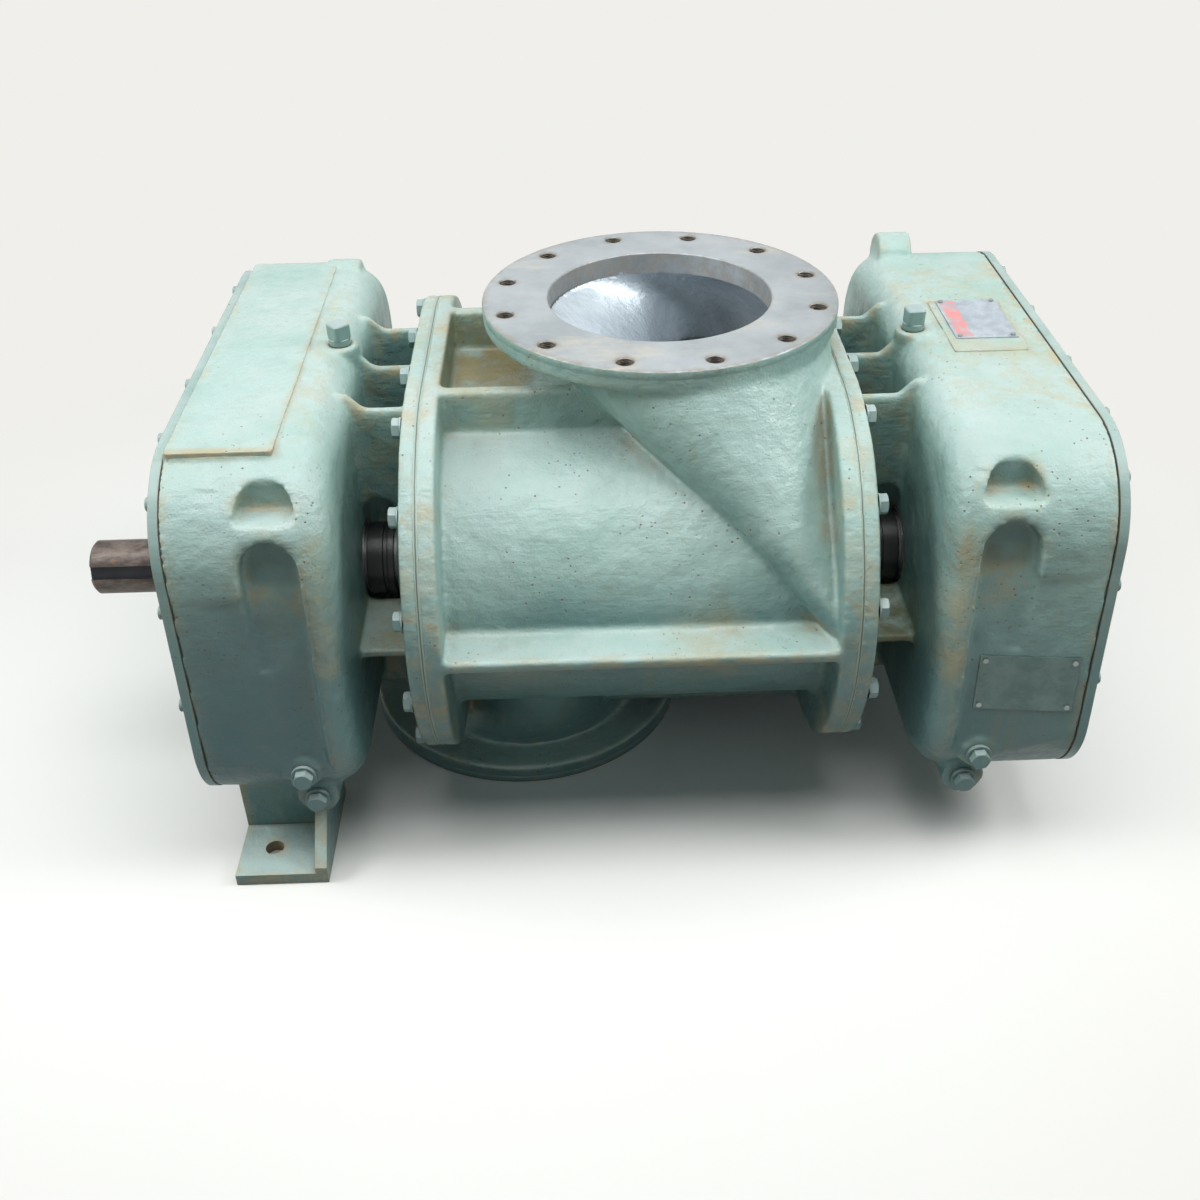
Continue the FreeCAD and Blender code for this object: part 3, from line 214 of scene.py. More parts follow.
# %% Finish helper
class Finish:
    """A material under construction, with short ways to add and join its nodes."""

    def __init__(self, name):
        self.material, self.tree = new_tree(name)
        self.shader = self.add("ShaderNodeBsdfPrincipled")
        self.out = self.add("ShaderNodeOutputMaterial")
        self.join(self.shader.outputs[0], self.out.inputs["Surface"])
        self.coords = self.add("ShaderNodeTexCoord").outputs["Object"]

    def add(self, kind, inputs=None, **settings):
        return add_node(self.tree, kind, inputs, **settings)

    def join(self, source, target):
        if isinstance(source, (int, float)):
            target.default_value = source
        else:
            self.tree.links.new(source, target)

    def noise(self, scale, detail=4.0, rough=0.55, stretch=(1.0, 1.0, 1.0), seed=0.0):
        """Soft noise between 0 and 1, at features per metre."""
        place = self.add("ShaderNodeMapping", {"Location": (seed, seed * 1.7, seed * 0.6), "Scale": stretch})
        node = self.add("ShaderNodeTexNoise", {"Scale": scale, "Detail": detail, "Roughness": rough},
                        noise_dimensions="3D")
        self.join(self.coords, place.inputs["Vector"])
        self.join(place.outputs[0], node.inputs["Vector"])
        return node.outputs[0]

    def pits(self, scale, seed=0.0):
        """Distance to scattered points, small at each one."""
        place = self.add("ShaderNodeMapping", {"Location": (seed, seed, seed)})
        node = self.add("ShaderNodeTexVoronoi", {"Scale": scale})
        self.join(self.coords, place.inputs["Vector"])
        self.join(place.outputs[0], node.inputs["Vector"])
        return node.outputs["Distance"]

    def ramp(self, value, low, high):
        """Rescales a value softly so that low gives 0 and high gives 1."""
        node = self.add("ShaderNodeMapRange", {"From Min": low, "From Max": high}, interpolation_type="SMOOTHSTEP")
        self.join(value, node.inputs["Value"])
        return node.outputs[0]

    def math(self, operation, a, b=0.0):
        node = self.add("ShaderNodeMath", operation=operation)
        self.join(a, node.inputs[0])
        self.join(b, node.inputs[1])
        return node.outputs[0]

    def times(self, a, b):
        return self.math("MULTIPLY", a, b)

    def length(self, a, b):
        """The long side of a right triangle with these short sides."""
        return self.math("SQRT", self.math("ADD", self.times(a, a), self.times(b, b)))

    def mix(self, amount, a, b):
        """Blends two colours, each a socket or three numbers."""
        node = self.add("ShaderNodeMix", data_type="RGBA")
        self.join(amount, node.inputs["Factor"])
        for source, socket in ((a, node.inputs[6]), (b, node.inputs[7])):
            if isinstance(source, tuple):
                socket.default_value = (*source, 1.0)
            else:
                self.join(source, socket)
        return node.outputs[2]

    def tint(self, colour, tone, mask, strength):
        """Lays a tone over a colour where the mask says so."""
        return self.mix(self.times(mask, strength), colour, tone)

    def split(self, vector=None):
        """The X, Y and Z parts of a vector, or of the place on the piece."""
        node = self.add("ShaderNodeSeparateXYZ")
        self.join(vector or self.coords, node.inputs[0])
        return node.outputs

    def upwards(self):
        """How far the surface looks up: 1 on level tops, 0 on walls, -1 underneath."""
        return self.split(self.add("ShaderNodeNewGeometry").outputs["Normal"])[2]

    def crevice(self, reach):
        """1 in open places, falling towards 0 in corners narrower than the reach."""
        return self.add("ShaderNodeAmbientOcclusion", {"Distance": reach}, samples=6).outputs["AO"]

    def worn(self, reach):
        """1 on thin and outward edges, 0 on broad faces."""
        node = self.add("ShaderNodeAmbientOcclusion", {"Distance": reach}, samples=4, inside=True, only_local=True)
        return self.ramp(node.outputs["AO"], 0.93, 0.55)

    def bump(self, height, depth, previous=None):
        node = self.add("ShaderNodeBump", {"Distance": depth, "Strength": 1.0})
        self.join(height, node.inputs["Height"])
        if previous is not None:
            self.join(previous, node.inputs["Normal"])
        return node.outputs[0]

    def soft_edges(self, radius):
        return self.add("ShaderNodeBevel", {"Radius": radius}, samples=4).outputs[0]

    def finish(self, colour, rough, metal=0.0, normal=None):
        self.join(colour, self.shader.inputs["Base Color"])
        self.join(rough, self.shader.inputs["Roughness"])
        self.shader.inputs["Metallic"].default_value = metal
        if normal is not None:
            self.join(normal, self.shader.inputs["Normal"])
        return self.material


print("finish helper ready")

# %% [markdown]
# ### Old enamel on a sand casting
# The castings carry a thick pale green enamel over foundry sand. Three things make it read as real: a lumpy
# orange-peel bump at several scales, brush and dust tones that drift over the surface, and rust that gathers in
# corners, on lips and in scattered specks. Painted light and shade go in with them: the paint is paler where it
# looks up and deeper on walls, walls darken towards the bottom and the tightest corners turn dark. Each is one
# layer over the last, the marks of age in the order in which age put them there, because a later layer then
# hides an earlier one as it does on the machine.

# %% Enamel tones
GREEN = (0.330, 0.490, 0.440)
PALE = (0.420, 0.555, 0.525)
DEEP = (0.205, 0.335, 0.310)
LOW_WALL_SHADE = (0.085, 0.195, 0.205)
DUST = (0.50, 0.56, 0.54)
SCUFFED = (0.30, 0.36, 0.27)
DRIPPED = (0.235, 0.245, 0.150)
OCHRE = (0.365, 0.220, 0.085)
CORNER_SHADE = (0.045, 0.050, 0.035)
CLOUDED = (0.42, 0.35, 0.21)
RUBBED = (0.47, 0.37, 0.20)
RUST = (0.190, 0.075, 0.028)
SOOT = (0.12, 0.10, 0.06)
FLAT = (1.0, 1.0, 1.0)
PAINT_BUMPS = (
    # features per metre, depth, detail, roughness, stretch, seed
    (20.0, 0.0055, 2.0, 0.5, FLAT, 6.0),
    (75.0, 0.0016, 2.0, 0.5, FLAT, 2.0),
    (150.0, 0.0008, 3.0, 0.6, (0.16, 1.0, 1.0), 14.0),
    (300.0, 0.0007, 3.0, 0.6, FLAT, 0.0),
)


def paint_lit_from_above(f, drift, up, base, pale):
    """Painted light and shade: the paint is paler where it looks up and deeper on walls, with a slow drift in both."""
    wall = f.mix(f.ramp(drift, 0.32, 0.70), DEEP, base)
    top = f.mix(f.ramp(drift, 0.3, 0.7), base, pale)
    return f.mix(f.ramp(up, -0.05, 0.75), wall, top)


def within(f, axes, low_corner, high_corner, soft):
    """1 inside a box in the piece's own coordinates, fading to 0 outside it."""
    inside = 1.0
    for axis, low, high in zip(axes, low_corner, high_corner):
        inside = f.times(inside, f.ramp(axis, low - soft, low + soft))
        inside = f.times(inside, f.ramp(axis, high + soft, high - soft))
    return inside


print("paint bumps at", [row[0] for row in PAINT_BUMPS], "features per metre")


# %% Enamel
def enamel(name, base=GREEN, pale=PALE, lump=1.0, rust=1.0, edge=0.0, wear=0.016, places=(), painted_shades=()):
    """Old paint with painted light and shade; lump and rust scale the bumps and the rust, edge rounds corners, wear is
    how wide lips rub.
    """
    f = Finish(name)
    axes, up = f.split(), f.upwards()
    drift = f.noise(5.0, 5.0, 0.6, seed=1.0)
    patch = f.noise(17.0, 4.0, 0.6, seed=4.0)
    upright = f.math("SUBTRACT", 1.0, f.ramp(up, 0.12, 0.55))
    colour = paint_lit_from_above(f, drift, up, base, pale)
    colour = f.tint(colour, tuple(c * 0.74 for c in base), f.ramp(patch, 0.5, 0.75), 0.3)
    height = f.math("ADD", axes[2], f.times(drift, 0.22))
    # Walls turn deep teal towards the bottom: painted shade.
    colour = f.tint(colour, LOW_WALL_SHADE, f.times(upright, f.ramp(height, 0.66, 0.36)), 0.78)
    dust = f.times(f.ramp(up, 0.55, 0.98), f.ramp(f.noise(9.0, 6.0, 0.7, seed=7.0), 0.36, 0.62))
    colour = f.tint(colour, DUST, dust, 0.42)
    scuff = f.ramp(f.noise(34.0, 6.0, 0.72, (1.0, 1.0, 0.35), 16.0), 0.56, 0.72)
    colour = f.tint(colour, SCUFFED, scuff, 0.28)
    runs = f.ramp(f.noise(26.0, 5.0, 0.65, (1.0, 1.0, 0.10), 41.0), 0.54, 0.68)
    colour = f.tint(colour, DRIPPED, f.times(runs, upright), 0.34 * rust)
    corner = f.ramp(f.crevice(0.035), 0.80, 0.35)
    stain = f.times(corner, f.ramp(f.noise(14.0, 6.0, 0.7, seed=12.0), 0.40, 0.60))
    colour = f.tint(colour, OCHRE, stain, 0.55 * rust)
    # The tightest corners turn nearly black: painted shade.
    colour = f.tint(colour, CORNER_SHADE, f.ramp(f.crevice(0.012), 0.75, 0.30), 0.75)
    colour = f.tint(colour, CLOUDED, f.ramp(f.noise(9.0, 7.0, 0.74, seed=20.0), 0.60, 0.75), 0.26 * rust)
    lip = f.times(f.worn(wear), f.ramp(f.noise(24.0, 6.0, 0.75, seed=26.0), 0.43, 0.60))
    colour = f.tint(colour, RUBBED, lip, 0.72 * rust)
    pocks = f.ramp(f.noise(11.0, 3.0, 0.6, seed=31.0), 0.46, 0.62)
    specks = f.times(f.ramp(f.pits(95.0, 3.0), 0.17, 0.06), pocks)
    colour = f.tint(colour, RUST, specks, 0.9 * rust)
    fine = f.times(f.ramp(f.pits(260.0, 9.0), 0.16, 0.07), f.ramp(drift, 0.42, 0.60))
    colour = f.tint(colour, SOOT, fine, 0.55 * rust)
    mottle = f.ramp(f.noise(19.0, 7.0, 0.7, seed=51.0), 0.34, 0.58)
    for low_corner, high_corner, soft, amount, tone in places:
        colour = f.tint(colour, tone, f.times(within(f, axes, low_corner, high_corner, soft), mottle), amount)
    # Each of these boxes lays even painted shade over the paint.
    for low_corner, high_corner, soft, amount, tone in painted_shades:
        colour = f.tint(colour, tone, within(f, axes, low_corner, high_corner, soft), amount)
    normal = f.soft_edges(edge) if edge else None
    for scale, depth, detail, rough, stretch, seed in PAINT_BUMPS:
        normal = f.bump(f.noise(scale, detail, rough, stretch, seed), depth * lump, normal)
    normal = f.bump(f.times(specks, -1.0), 0.0008, normal)
    rough = f.math("ADD", 0.28, f.times(f.ramp(patch, 0.3, 0.7), 0.20))
    rough = f.math("ADD", rough, f.times(f.math("MAXIMUM", stain, lip), 0.3))
    return f.finish(colour, rough, normal=normal)


# %% [markdown]
# ### Where the stains and painted shade are
# Rain and oil have left marks in certain places: the pocket between the top ribs, patches on the front, the webs,
# round the arches and the rims of the pads. Painted shade darkens the low strip under the ledge, where there is
# dark grime as well, the fronts of the heads, the recesses of the notches and the corners of the neck. Each is a
# soft box in the machine's own coordinates with a tone. Broken marks are mottled by noise; the painted shade is even.

# %% Enamel finishes
# low corner, high corner, softness of the border, strength, tone
CASING_MARKS = (
    ((-0.085, -0.125, 0.530), (0.030, 0.125, 0.628), 0.018, 0.92, (0.40, 0.30, 0.11)),
    ((-0.075, -0.195, 0.545), (0.010, -0.130, 0.640), 0.015, 0.40, (0.42, 0.36, 0.20)),
    ((0.215, -0.420, 0.270), (0.310, -0.20, 0.360), 0.040, 0.60, (0.40, 0.31, 0.16)),
    ((-0.05, -0.420, 0.260), (0.060, -0.20, 0.330), 0.050, 0.35, (0.42, 0.35, 0.20)),
    ((-0.09, -0.400, 0.150), (0.43, -0.300, 0.215), 0.012, 0.50, (0.50, 0.42, 0.27)),
)
# Painted shadow under the ledge, with dark grime there as well.
CASING_PAINTED_SHADE = (
    ((-0.085, -0.420, -0.02), (0.420, -0.255, 0.128), 0.016, 0.80, (0.060, 0.058, 0.032)),
)
HEAD_MARKS = (
    ((0.455, -0.300, 0.270), (0.560, 0.300, 0.345), 0.020, 0.80, (0.150, 0.160, 0.070)),
    ((-0.225, -0.300, 0.270), (-0.120, 0.300, 0.330), 0.020, 0.35, (0.30, 0.31, 0.20)),
    ((-0.236, -0.430, 0.330), (-0.216, -0.335, 0.530), 0.012, 0.45, (0.42, 0.33, 0.16)),
    ((0.548, -0.430, 0.300), (0.574, -0.335, 0.520), 0.014, 0.50, (0.40, 0.31, 0.15)),
    ((-0.405, -0.315, 0.603), (-0.268, -0.292, 0.620), 0.006, 0.55, (0.45, 0.33, 0.17)),
    ((-0.275, -0.315, 0.603), (-0.268, 0.100, 0.620), 0.004, 0.45, (0.45, 0.33, 0.17)),
    ((0.600, -0.090, 0.603), (0.715, 0.100, 0.620), 0.006, 0.40, (0.45, 0.35, 0.20)),
)
# Painted shade: the dim fronts of both heads, the recesses of the two notches and the corners of the neck.
HEAD_PAINTED_SHADE = (
    ((-0.420, -0.450, 0.000), (-0.235, -0.365, 0.450), 0.045, 0.66, (0.035, 0.090, 0.105)),
    ((0.600, -0.450, 0.000), (0.760, -0.365, 0.300), 0.060, 0.40, (0.065, 0.095, 0.080)),
    ((-0.313, -0.392, 0.462), (-0.250, -0.335, 0.530), 0.012, 0.72, (0.065, 0.150, 0.150)),
    ((0.586, -0.392, 0.462), (0.649, -0.335, 0.530), 0.012, 0.62, (0.075, 0.155, 0.150)),
    ((-0.200, -0.300, 0.330), (-0.125, 0.300, 0.560), 0.020, 0.55, (0.065, 0.150, 0.145)),
    ((0.461, -0.300, 0.330), (0.536, 0.300, 0.560), 0.020, 0.55, (0.065, 0.150, 0.145)),
)
casting_enamel = enamel("enamel_on_casting", places=CASING_MARKS, painted_shades=CASING_PAINTED_SHADE)
head_enamel = enamel("enamel_on_heads", places=HEAD_MARKS, painted_shades=HEAD_PAINTED_SHADE)
plate_enamel = enamel("enamel_on_plate", base=(0.245, 0.370, 0.345), pale=(0.330, 0.445, 0.425), lump=0.4, rust=0.7,
                      edge=0.0015, wear=0.003)
bolt_enamel = enamel("enamel_on_bolts", base=(0.26, 0.36, 0.355), pale=(0.35, 0.45, 0.44), lump=0.25, rust=0.35,
                     edge=0.0010, wear=0.0015)
print("enamel finishes ready")

# %% [markdown]
# ### Bare and dark metals
# The bare shaft end is brown with rust, and its keyway is painted dark as shade; slingers and gaskets are nearly
# black. A new rotor, gear or ring needs little more than a cloudy grey, so one plain finish serves them all.

# %% Shaft and plain metals
AXIS_Y, AXIS_Z = 0.127, 0.335
KEYWAY_FLOOR, KEYWAY_LIP = 0.0352, 0.0368


def rusty_shaft(name):
    """Plain iron inside, with a browned bare end beyond the drive end cover."""
    f = Finish(name)
    x, y, z = f.split()
    outside = f.ramp(x, -0.40, -0.41)
    cloud = f.noise(38.0, 8.0, 0.72, (0.5, 1.0, 1.0), 5.0)
    brown = f.mix(f.ramp(cloud, 0.36, 0.66), (0.050, 0.036, 0.030), (0.19, 0.155, 0.135))
    brown = f.mix(f.ramp(f.noise(70.0, 6.0, 0.7, seed=8.0), 0.56, 0.70), brown, (0.24, 0.105, 0.045))
    iron = f.mix(f.ramp(f.noise(12.0, 5.0, 0.6, seed=1.0), 0.35, 0.65), (0.085, 0.085, 0.088), (0.20, 0.205, 0.21))
    radius = f.length(f.math("ADD", y, AXIS_Y), f.math("SUBTRACT", z, AXIS_Z))
    # The keyway is tinted nearly black: painted shade in the recess.
    keyway_shade = f.times(outside, f.ramp(radius, KEYWAY_LIP, KEYWAY_FLOOR))
    colour = f.tint(f.mix(outside, iron, brown), (0.012, 0.016, 0.026), keyway_shade, 0.9)
    normal = f.bump(f.noise(240.0, 4.0, 0.6, seed=3.0), 0.0004, f.soft_edges(0.0008))
    return f.finish(colour, 0.44, metal=0.35, normal=normal)


def plain(name, colour, rough, metal=0.0, edge=0.0008):
    f = Finish(name)
    cloud = f.noise(40.0, 5.0, 0.6, seed=2.0)
    shade = f.mix(f.ramp(cloud, 0.3, 0.7), tuple(c * 0.75 for c in colour), colour)
    normal = f.bump(f.noise(300.0, 3.0, 0.6), 0.0003, f.soft_edges(edge))
    return f.finish(shade, rough, metal=metal, normal=normal)


shaft_iron = rusty_shaft("rotor_iron")
gear_steel = plain("gear_steel", (0.36, 0.36, 0.37), 0.3, metal=0.9)
bearing_steel = plain("bearing_steel", (0.62, 0.63, 0.65), 0.18, metal=1.0)
black_steel = plain("black_steel", (0.010, 0.010, 0.012), 0.34, edge=0.0025)
gasket_black = plain("gasket_sheet", (0.10, 0.105, 0.085), 0.8)
seal_black = plain("seal_rubber", (0.02, 0.02, 0.02), 0.6)
pin_steel = plain("pin_steel", (0.36, 0.40, 0.38), 0.4, metal=0.7)
thread_rust = plain("thread_rust", (0.16, 0.135, 0.110), 0.55, metal=0.3)
print("plain metals ready")

# %% [markdown]
# ### Flange faces and passages
# The ground flange faces are clouded grey and brown at their rims and round each of the twelve holes. The holes
# repeat every 30 degrees, so one modulo of the angle folds all twelve onto one, and the distance to it gives the
# rust ring. The passages behind them are cast, blue grey, pitted and faintly oily.

# %% Flange and passage metals
HOLE_CIRCLE = 0.2159
FLANGE_RADIUS = 0.2413
THROAT = 0.1524
HOLE_STEP = 30.0
FLANGE_TOP = 0.670
INLET_X, DISCHARGE_X = 0.212, 0.0


def flange_metal(name, centre_x):
    f = Finish(name)
    x, y, _ = f.split()
    across = f.math("SUBTRACT", x, centre_x)
    radius = f.length(across, y)
    turn = f.math("FLOORED_MODULO", f.math("ARCTAN2", y, across), math.radians(HOLE_STEP))
    share = f.math("SUBTRACT", turn, math.radians(HOLE_STEP / 2))
    along = f.math("SUBTRACT", f.times(radius, f.math("COSINE", share)), HOLE_CIRCLE)
    to_hole = f.length(along, f.times(radius, f.math("SINE", share)))
    colour = f.mix(f.ramp(f.noise(7.0, 6.0, 0.65, seed=3.0), 0.3, 0.7), (0.245, 0.275, 0.292), (0.375, 0.405, 0.425))
    wiped = f.ramp(f.noise(5.0, 5.0, 0.7, (1.0, 3.0, 1.0), 13.0), 0.52, 0.68)
    colour = f.tint(colour, (0.52, 0.46, 0.36), wiped, 0.45)
    outer_rim = f.times(f.ramp(radius, FLANGE_RADIUS - 0.012, FLANGE_RADIUS), 0.7)
    inner_rim = f.times(f.ramp(f.math("ABSOLUTE", f.math("SUBTRACT", radius, THROAT)), 0.004, 0.0), 0.6)
    spread = f.math("MAXIMUM", f.math("MAXIMUM", outer_rim, inner_rim), f.times(f.ramp(to_hole, 0.021, 0.0125), 0.7))
    rusty = f.times(spread, f.ramp(f.noise(55.0, 6.0, 0.7, seed=6.0), 0.36, 0.60))
    colour = f.tint(colour, (0.30, 0.235, 0.15), rusty, 0.65)
    colour = f.tint(colour, (0.12, 0.10, 0.08), f.ramp(to_hole, 0.0140, 0.0122), 0.4)
    marks = f.noise(900.0, 2.0, 0.5, (1.0, 0.05, 1.0))
    normal = f.bump(marks, 0.00010, f.bump(f.noise(60.0, 3.0, 0.6), 0.0003))
    return f.finish(colour, f.math("ADD", 0.40, f.times(rusty, 0.35)), metal=0.35, normal=normal)


def port_metal(name):
    f = Finish(name)
    colour = f.mix(f.ramp(f.noise(10.0, 5.0, 0.6, seed=2.0), 0.3, 0.7), (0.50, 0.575, 0.64), (0.68, 0.76, 0.82))
    specks = f.times(f.ramp(f.pits(170.0, 4.0), 0.20, 0.08), f.ramp(f.noise(15.0, 3.0, 0.6), 0.42, 0.6))
    colour = f.tint(colour, (0.13, 0.10, 0.085), specks, 0.7)
    normal = f.bump(f.noise(70.0, 3.0, 0.5, seed=2.0), 0.0022)
    normal = f.bump(f.noise(420.0, 3.0, 0.65), 0.0007, normal)
    return f.finish(colour, 0.24, metal=0.4, normal=normal)


inlet_face_metal = flange_metal("machined_inlet_face", INLET_X)
discharge_face_metal = flange_metal("machined_discharge_face", DISCHARGE_X)
passage_metal = port_metal("cast_passage")
print("flange metals ready, twelve holes on a circle of radius", HOLE_CIRCLE)

# %% [markdown]
# ### Plates
# The rating plate is thin anodised metal with a faded red band along one side; the plate on the front is bare
# of any marking and painted over with the machine. Both are nearly flat, so small scratches carry the detail.

# %% Plate finishes
BAND_X = (0.6205, 0.6430)
BAND_Y = (-0.0385, 0.0825)
BAND_SOFT = 0.0015


def rating_metal(name):
    f = Finish(name)
    x, y, _ = f.split()
    cloud = f.noise(60.0, 6.0, 0.7, seed=2.0)
    colour = f.mix(f.ramp(cloud, 0.35, 0.65), (0.330, 0.375, 0.420), (0.450, 0.500, 0.555))
    band = 1.0
    for axis, (low, high) in ((x, BAND_X), (y, BAND_Y)):
        band = f.times(band, f.times(f.ramp(axis, low, low + BAND_SOFT), f.ramp(axis, high, high - BAND_SOFT)))
    faded = f.ramp(f.noise(45.0, 6.0, 0.7, seed=8.0), 0.30, 0.62)
    colour = f.tint(colour, (0.72, 0.27, 0.26), band, faded)
    marks = f.ramp(f.noise(150.0, 6.0, 0.75, (1.0, 0.2, 1.0), 5.0), 0.60, 0.70)
    colour = f.tint(colour, (0.62, 0.66, 0.69), marks, 0.5)
    normal = f.bump(f.noise(240.0, 3.0, 0.6), 0.0003, f.soft_edges(0.0006))
    return f.finish(colour, f.math("ADD", 0.36, f.times(cloud, 0.25)), metal=0.2, normal=normal)


def painted_plate(name):
    f = Finish(name)
    cloud = f.noise(22.0, 6.0, 0.7, seed=2.0)
    colour = f.mix(f.ramp(cloud, 0.32, 0.68), (0.085, 0.150, 0.145), (0.150, 0.230, 0.215))
    scratch = f.ramp(f.noise(120.0, 6.0, 0.75, (0.25, 1.0, 1.0), 5.0), 0.62, 0.70)
    colour = f.tint(colour, (0.27, 0.33, 0.31), scratch, 0.35)
    normal = f.bump(f.noise(16.0, 2.0, 0.5, seed=3.0), 0.0016, f.soft_edges(0.0008))
    normal = f.bump(f.noise(260.0, 3.0, 0.6), 0.0003, normal)
    return f.finish(colour, 0.30, metal=0.2, normal=normal)


rating_face = rating_metal("rating_plate_metal")
blank_face = painted_plate("blank_plate_paint")
print("plate finishes ready")

# %% [markdown]
# ### Dressing the CAD nodes
# Pieces whose shape is already right keep their CAD mesh and take a finish in their slot.

# %% Dress the nodes
dress = {
    "green_casting": casting_enamel,
    "green_cover": plate_enamel,
    "painted_bolts": bolt_enamel,
    "gasket_sheet": gasket_black,
    "machined_steel": gear_steel,
    "bearing_steel": bearing_steel,
    "rotor_iron": shaft_iron,
    "gear_steel": gear_steel,
    "black_steel": black_steel,
    "seal_rubber": seal_black,
    "plate_metal": rating_face,
    "plate_painted": blank_face,
    "pin_steel": pin_steel,
}
slot_of = {row["node"]: row["material_slot"] for row in frame["record"]["subparts"]}
for node_name, item in nodes.items():
    item.data.materials.clear()
    item.data.materials.append(dress[slot_of[node_name]])
print("dressed", len(nodes), "nodes")

# %% [markdown]
# ## Foundry edges
# A casting has no sharp edges: sand rounds every corner and fillets every root. A Bevel modifier stumbles over
# the many small faces of a CAD mesh, so the solid is turned into one even skin by a voxel remesh. Smoothing then
# melts its edges by a few millimetres, and decimation brings it back to a fair number of faces. Machined faces
# are pinned so that they stay flat.

# %% Mesh helpers
def merged_copy(node, name):
    """A welded copy of a CAD node's mesh, free to be changed."""
    bm = bmesh.new()
    bm.from_mesh(nodes[node].data)
    bmesh.ops.remove_doubles(bm, verts=bm.verts, dist=1e-6)
    mesh = bpy.data.meshes.new(name)
    bm.to_mesh(mesh)
    bm.free()
    return mesh


def baked(mesh, name, *modifiers):
    """The mesh after some modifiers, each given as a kind and its settings."""
    item = bpy.data.objects.new(name, mesh)
    bpy.context.scene.collection.objects.link(item)
    for kind, settings in modifiers:
        modifier = item.modifiers.new(kind.lower(), kind)
        for key, value in settings.items():
            setattr(modifier, key, value)
    bpy.context.view_layer.update()
    result = bpy.data.meshes.new_from_object(item.evaluated_get(bpy.context.evaluated_depsgraph_get()))
    bpy.data.objects.remove(item)
    result.name = name
    return result


def coordinates(mesh):
    flat = np.empty(len(mesh.vertices) * 3)
    mesh.vertices.foreach_get("co", flat)
    return flat.reshape(-1, 3)


# %% Foundry skin
SMOOTHING_ROUNDS = 6
SKIN_WAVES = 0.0004


def relax(mesh, free, rounds):
    """Moves each free point towards the middle of its neighbours, several times over."""
    ends = np.empty(len(mesh.edges) * 2, dtype=np.int64)
    mesh.edges.foreach_get("vertices", ends)
    a, b = ends[0::2], ends[1::2]
    points = coordinates(mesh)
    count = len(points)
    neighbours = np.bincount(a, minlength=count) + np.bincount(b, minlength=count)
    for _ in range(rounds):
        total = np.empty_like(points)
        for k in range(3):
            total[:, k] = (np.bincount(a, points[b, k], count) + np.bincount(b, points[a, k], count))
        middle = total / neighbours[:, None]
        points += (middle - points) * (0.5 * free[:, None])
    mesh.vertices.foreach_set("co", points.ravel())
    mesh.update()


def ripple(mesh, free, height):
    """Foundry unevenness: slow waves a fraction of a millimetre high."""
    mesh.update()
    normals = np.empty(len(mesh.vertices) * 3)
    mesh.vertices.foreach_get("normal", normals)
    normals = normals.reshape(-1, 3)
    points = coordinates(mesh)
    lift = np.array([noise.noise(Vector(p) * 16.0) + 0.5 * noise.noise(Vector(p) * 41.0) for p in points])
    points += normals * (lift * height * free)[:, None]
    mesh.vertices.foreach_set("co", points.ravel())
    mesh.update()


# %% Pieces of the scene
def face_middles(mesh):
    flat = np.empty(len(mesh.polygons) * 3)
    mesh.polygons.foreach_get("center", flat)
    return flat.reshape(-1, 3)


def kept_faces(mesh, name, keep):
    """A copy of the mesh with only some of its faces."""
    bm = bmesh.new()
    bm.from_mesh(mesh)
    bm.faces.ensure_lookup_table()
    bmesh.ops.delete(bm, geom=[face for face, stays in zip(bm.faces, keep) if not stays], context="FACES")
    result = bpy.data.meshes.new(name)
    bm.to_mesh(result)
    bm.free()
    return result


def piece(name, mesh, material, body="casing", replaced=None):
    """Puts a finished mesh into the scene, riding a body in a material slot."""
    mesh.materials.clear()
    mesh.materials.append(material)
    item = bpy.data.objects.new(name, mesh)
    bpy.context.scene.collection.objects.link(item)
    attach(item, body)
    for node in replaced or ():
        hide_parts(node)
    print(name, len(mesh.polygons), "faces")
    return item


def cast_skin(node, voxel, pinned, most_faces):
    """A CAD node's solid with foundry edges; pinned tells which points are on machined faces."""
    mesh = baked(merged_copy(node, node + "_solid"), node + "_skin",
                 ("REMESH", {"mode": "VOXEL", "voxel_size": voxel, "use_smooth_shade": True}))
    free = 1.0 - pinned(coordinates(mesh)).astype(float)
    relax(mesh, free, SMOOTHING_ROUNDS)
    ripple(mesh, free, SKIN_WAVES)
    triangles = 2 * len(mesh.polygons)
    if triangles > most_faces:
        mesh = baked(mesh, node + "_skin", ("DECIMATE", {"ratio": most_faces / triangles}))
    mesh.polygons.foreach_set("use_smooth", [True] * len(mesh.polygons))
    return mesh


# %% [markdown]
# ### Machined faces and hidden parts of the castings
# A point counts as machined when it lies within a millimetre or two of a ground plane. The crisp flange faces
# are pieces of their own, so the soft skin is cut away beneath them. The skin is also split in two by where its
# faces lie: the outside is painted, and the cored passages and the rotor chamber are bare.

# %% Machined faces
CASING_ENDS = (-0.108, 0.444)
CASING_MIDDLE, HEAD_START, HEAD_LENGTH = 0.168, 0.276, 0.297
HOLE_DEPTH, HOLE_REACH = 0.028, 0.0145


def casing_pins(p):
    flange = (p[:, 2] > FLANGE_TOP - 0.0015) | (p[:, 2] < 0.0015)
    ends = (p[:, 0] < CASING_ENDS[0] + 0.0015) | (p[:, 0] > CASING_ENDS[1] - 0.0015)
    return flange | ends


def head_pins(p):
    far = np.abs(p[:, 0] - CASING_MIDDLE) - HEAD_START
    return (far > HEAD_LENGTH - 0.0025) | (far < 0.0025)


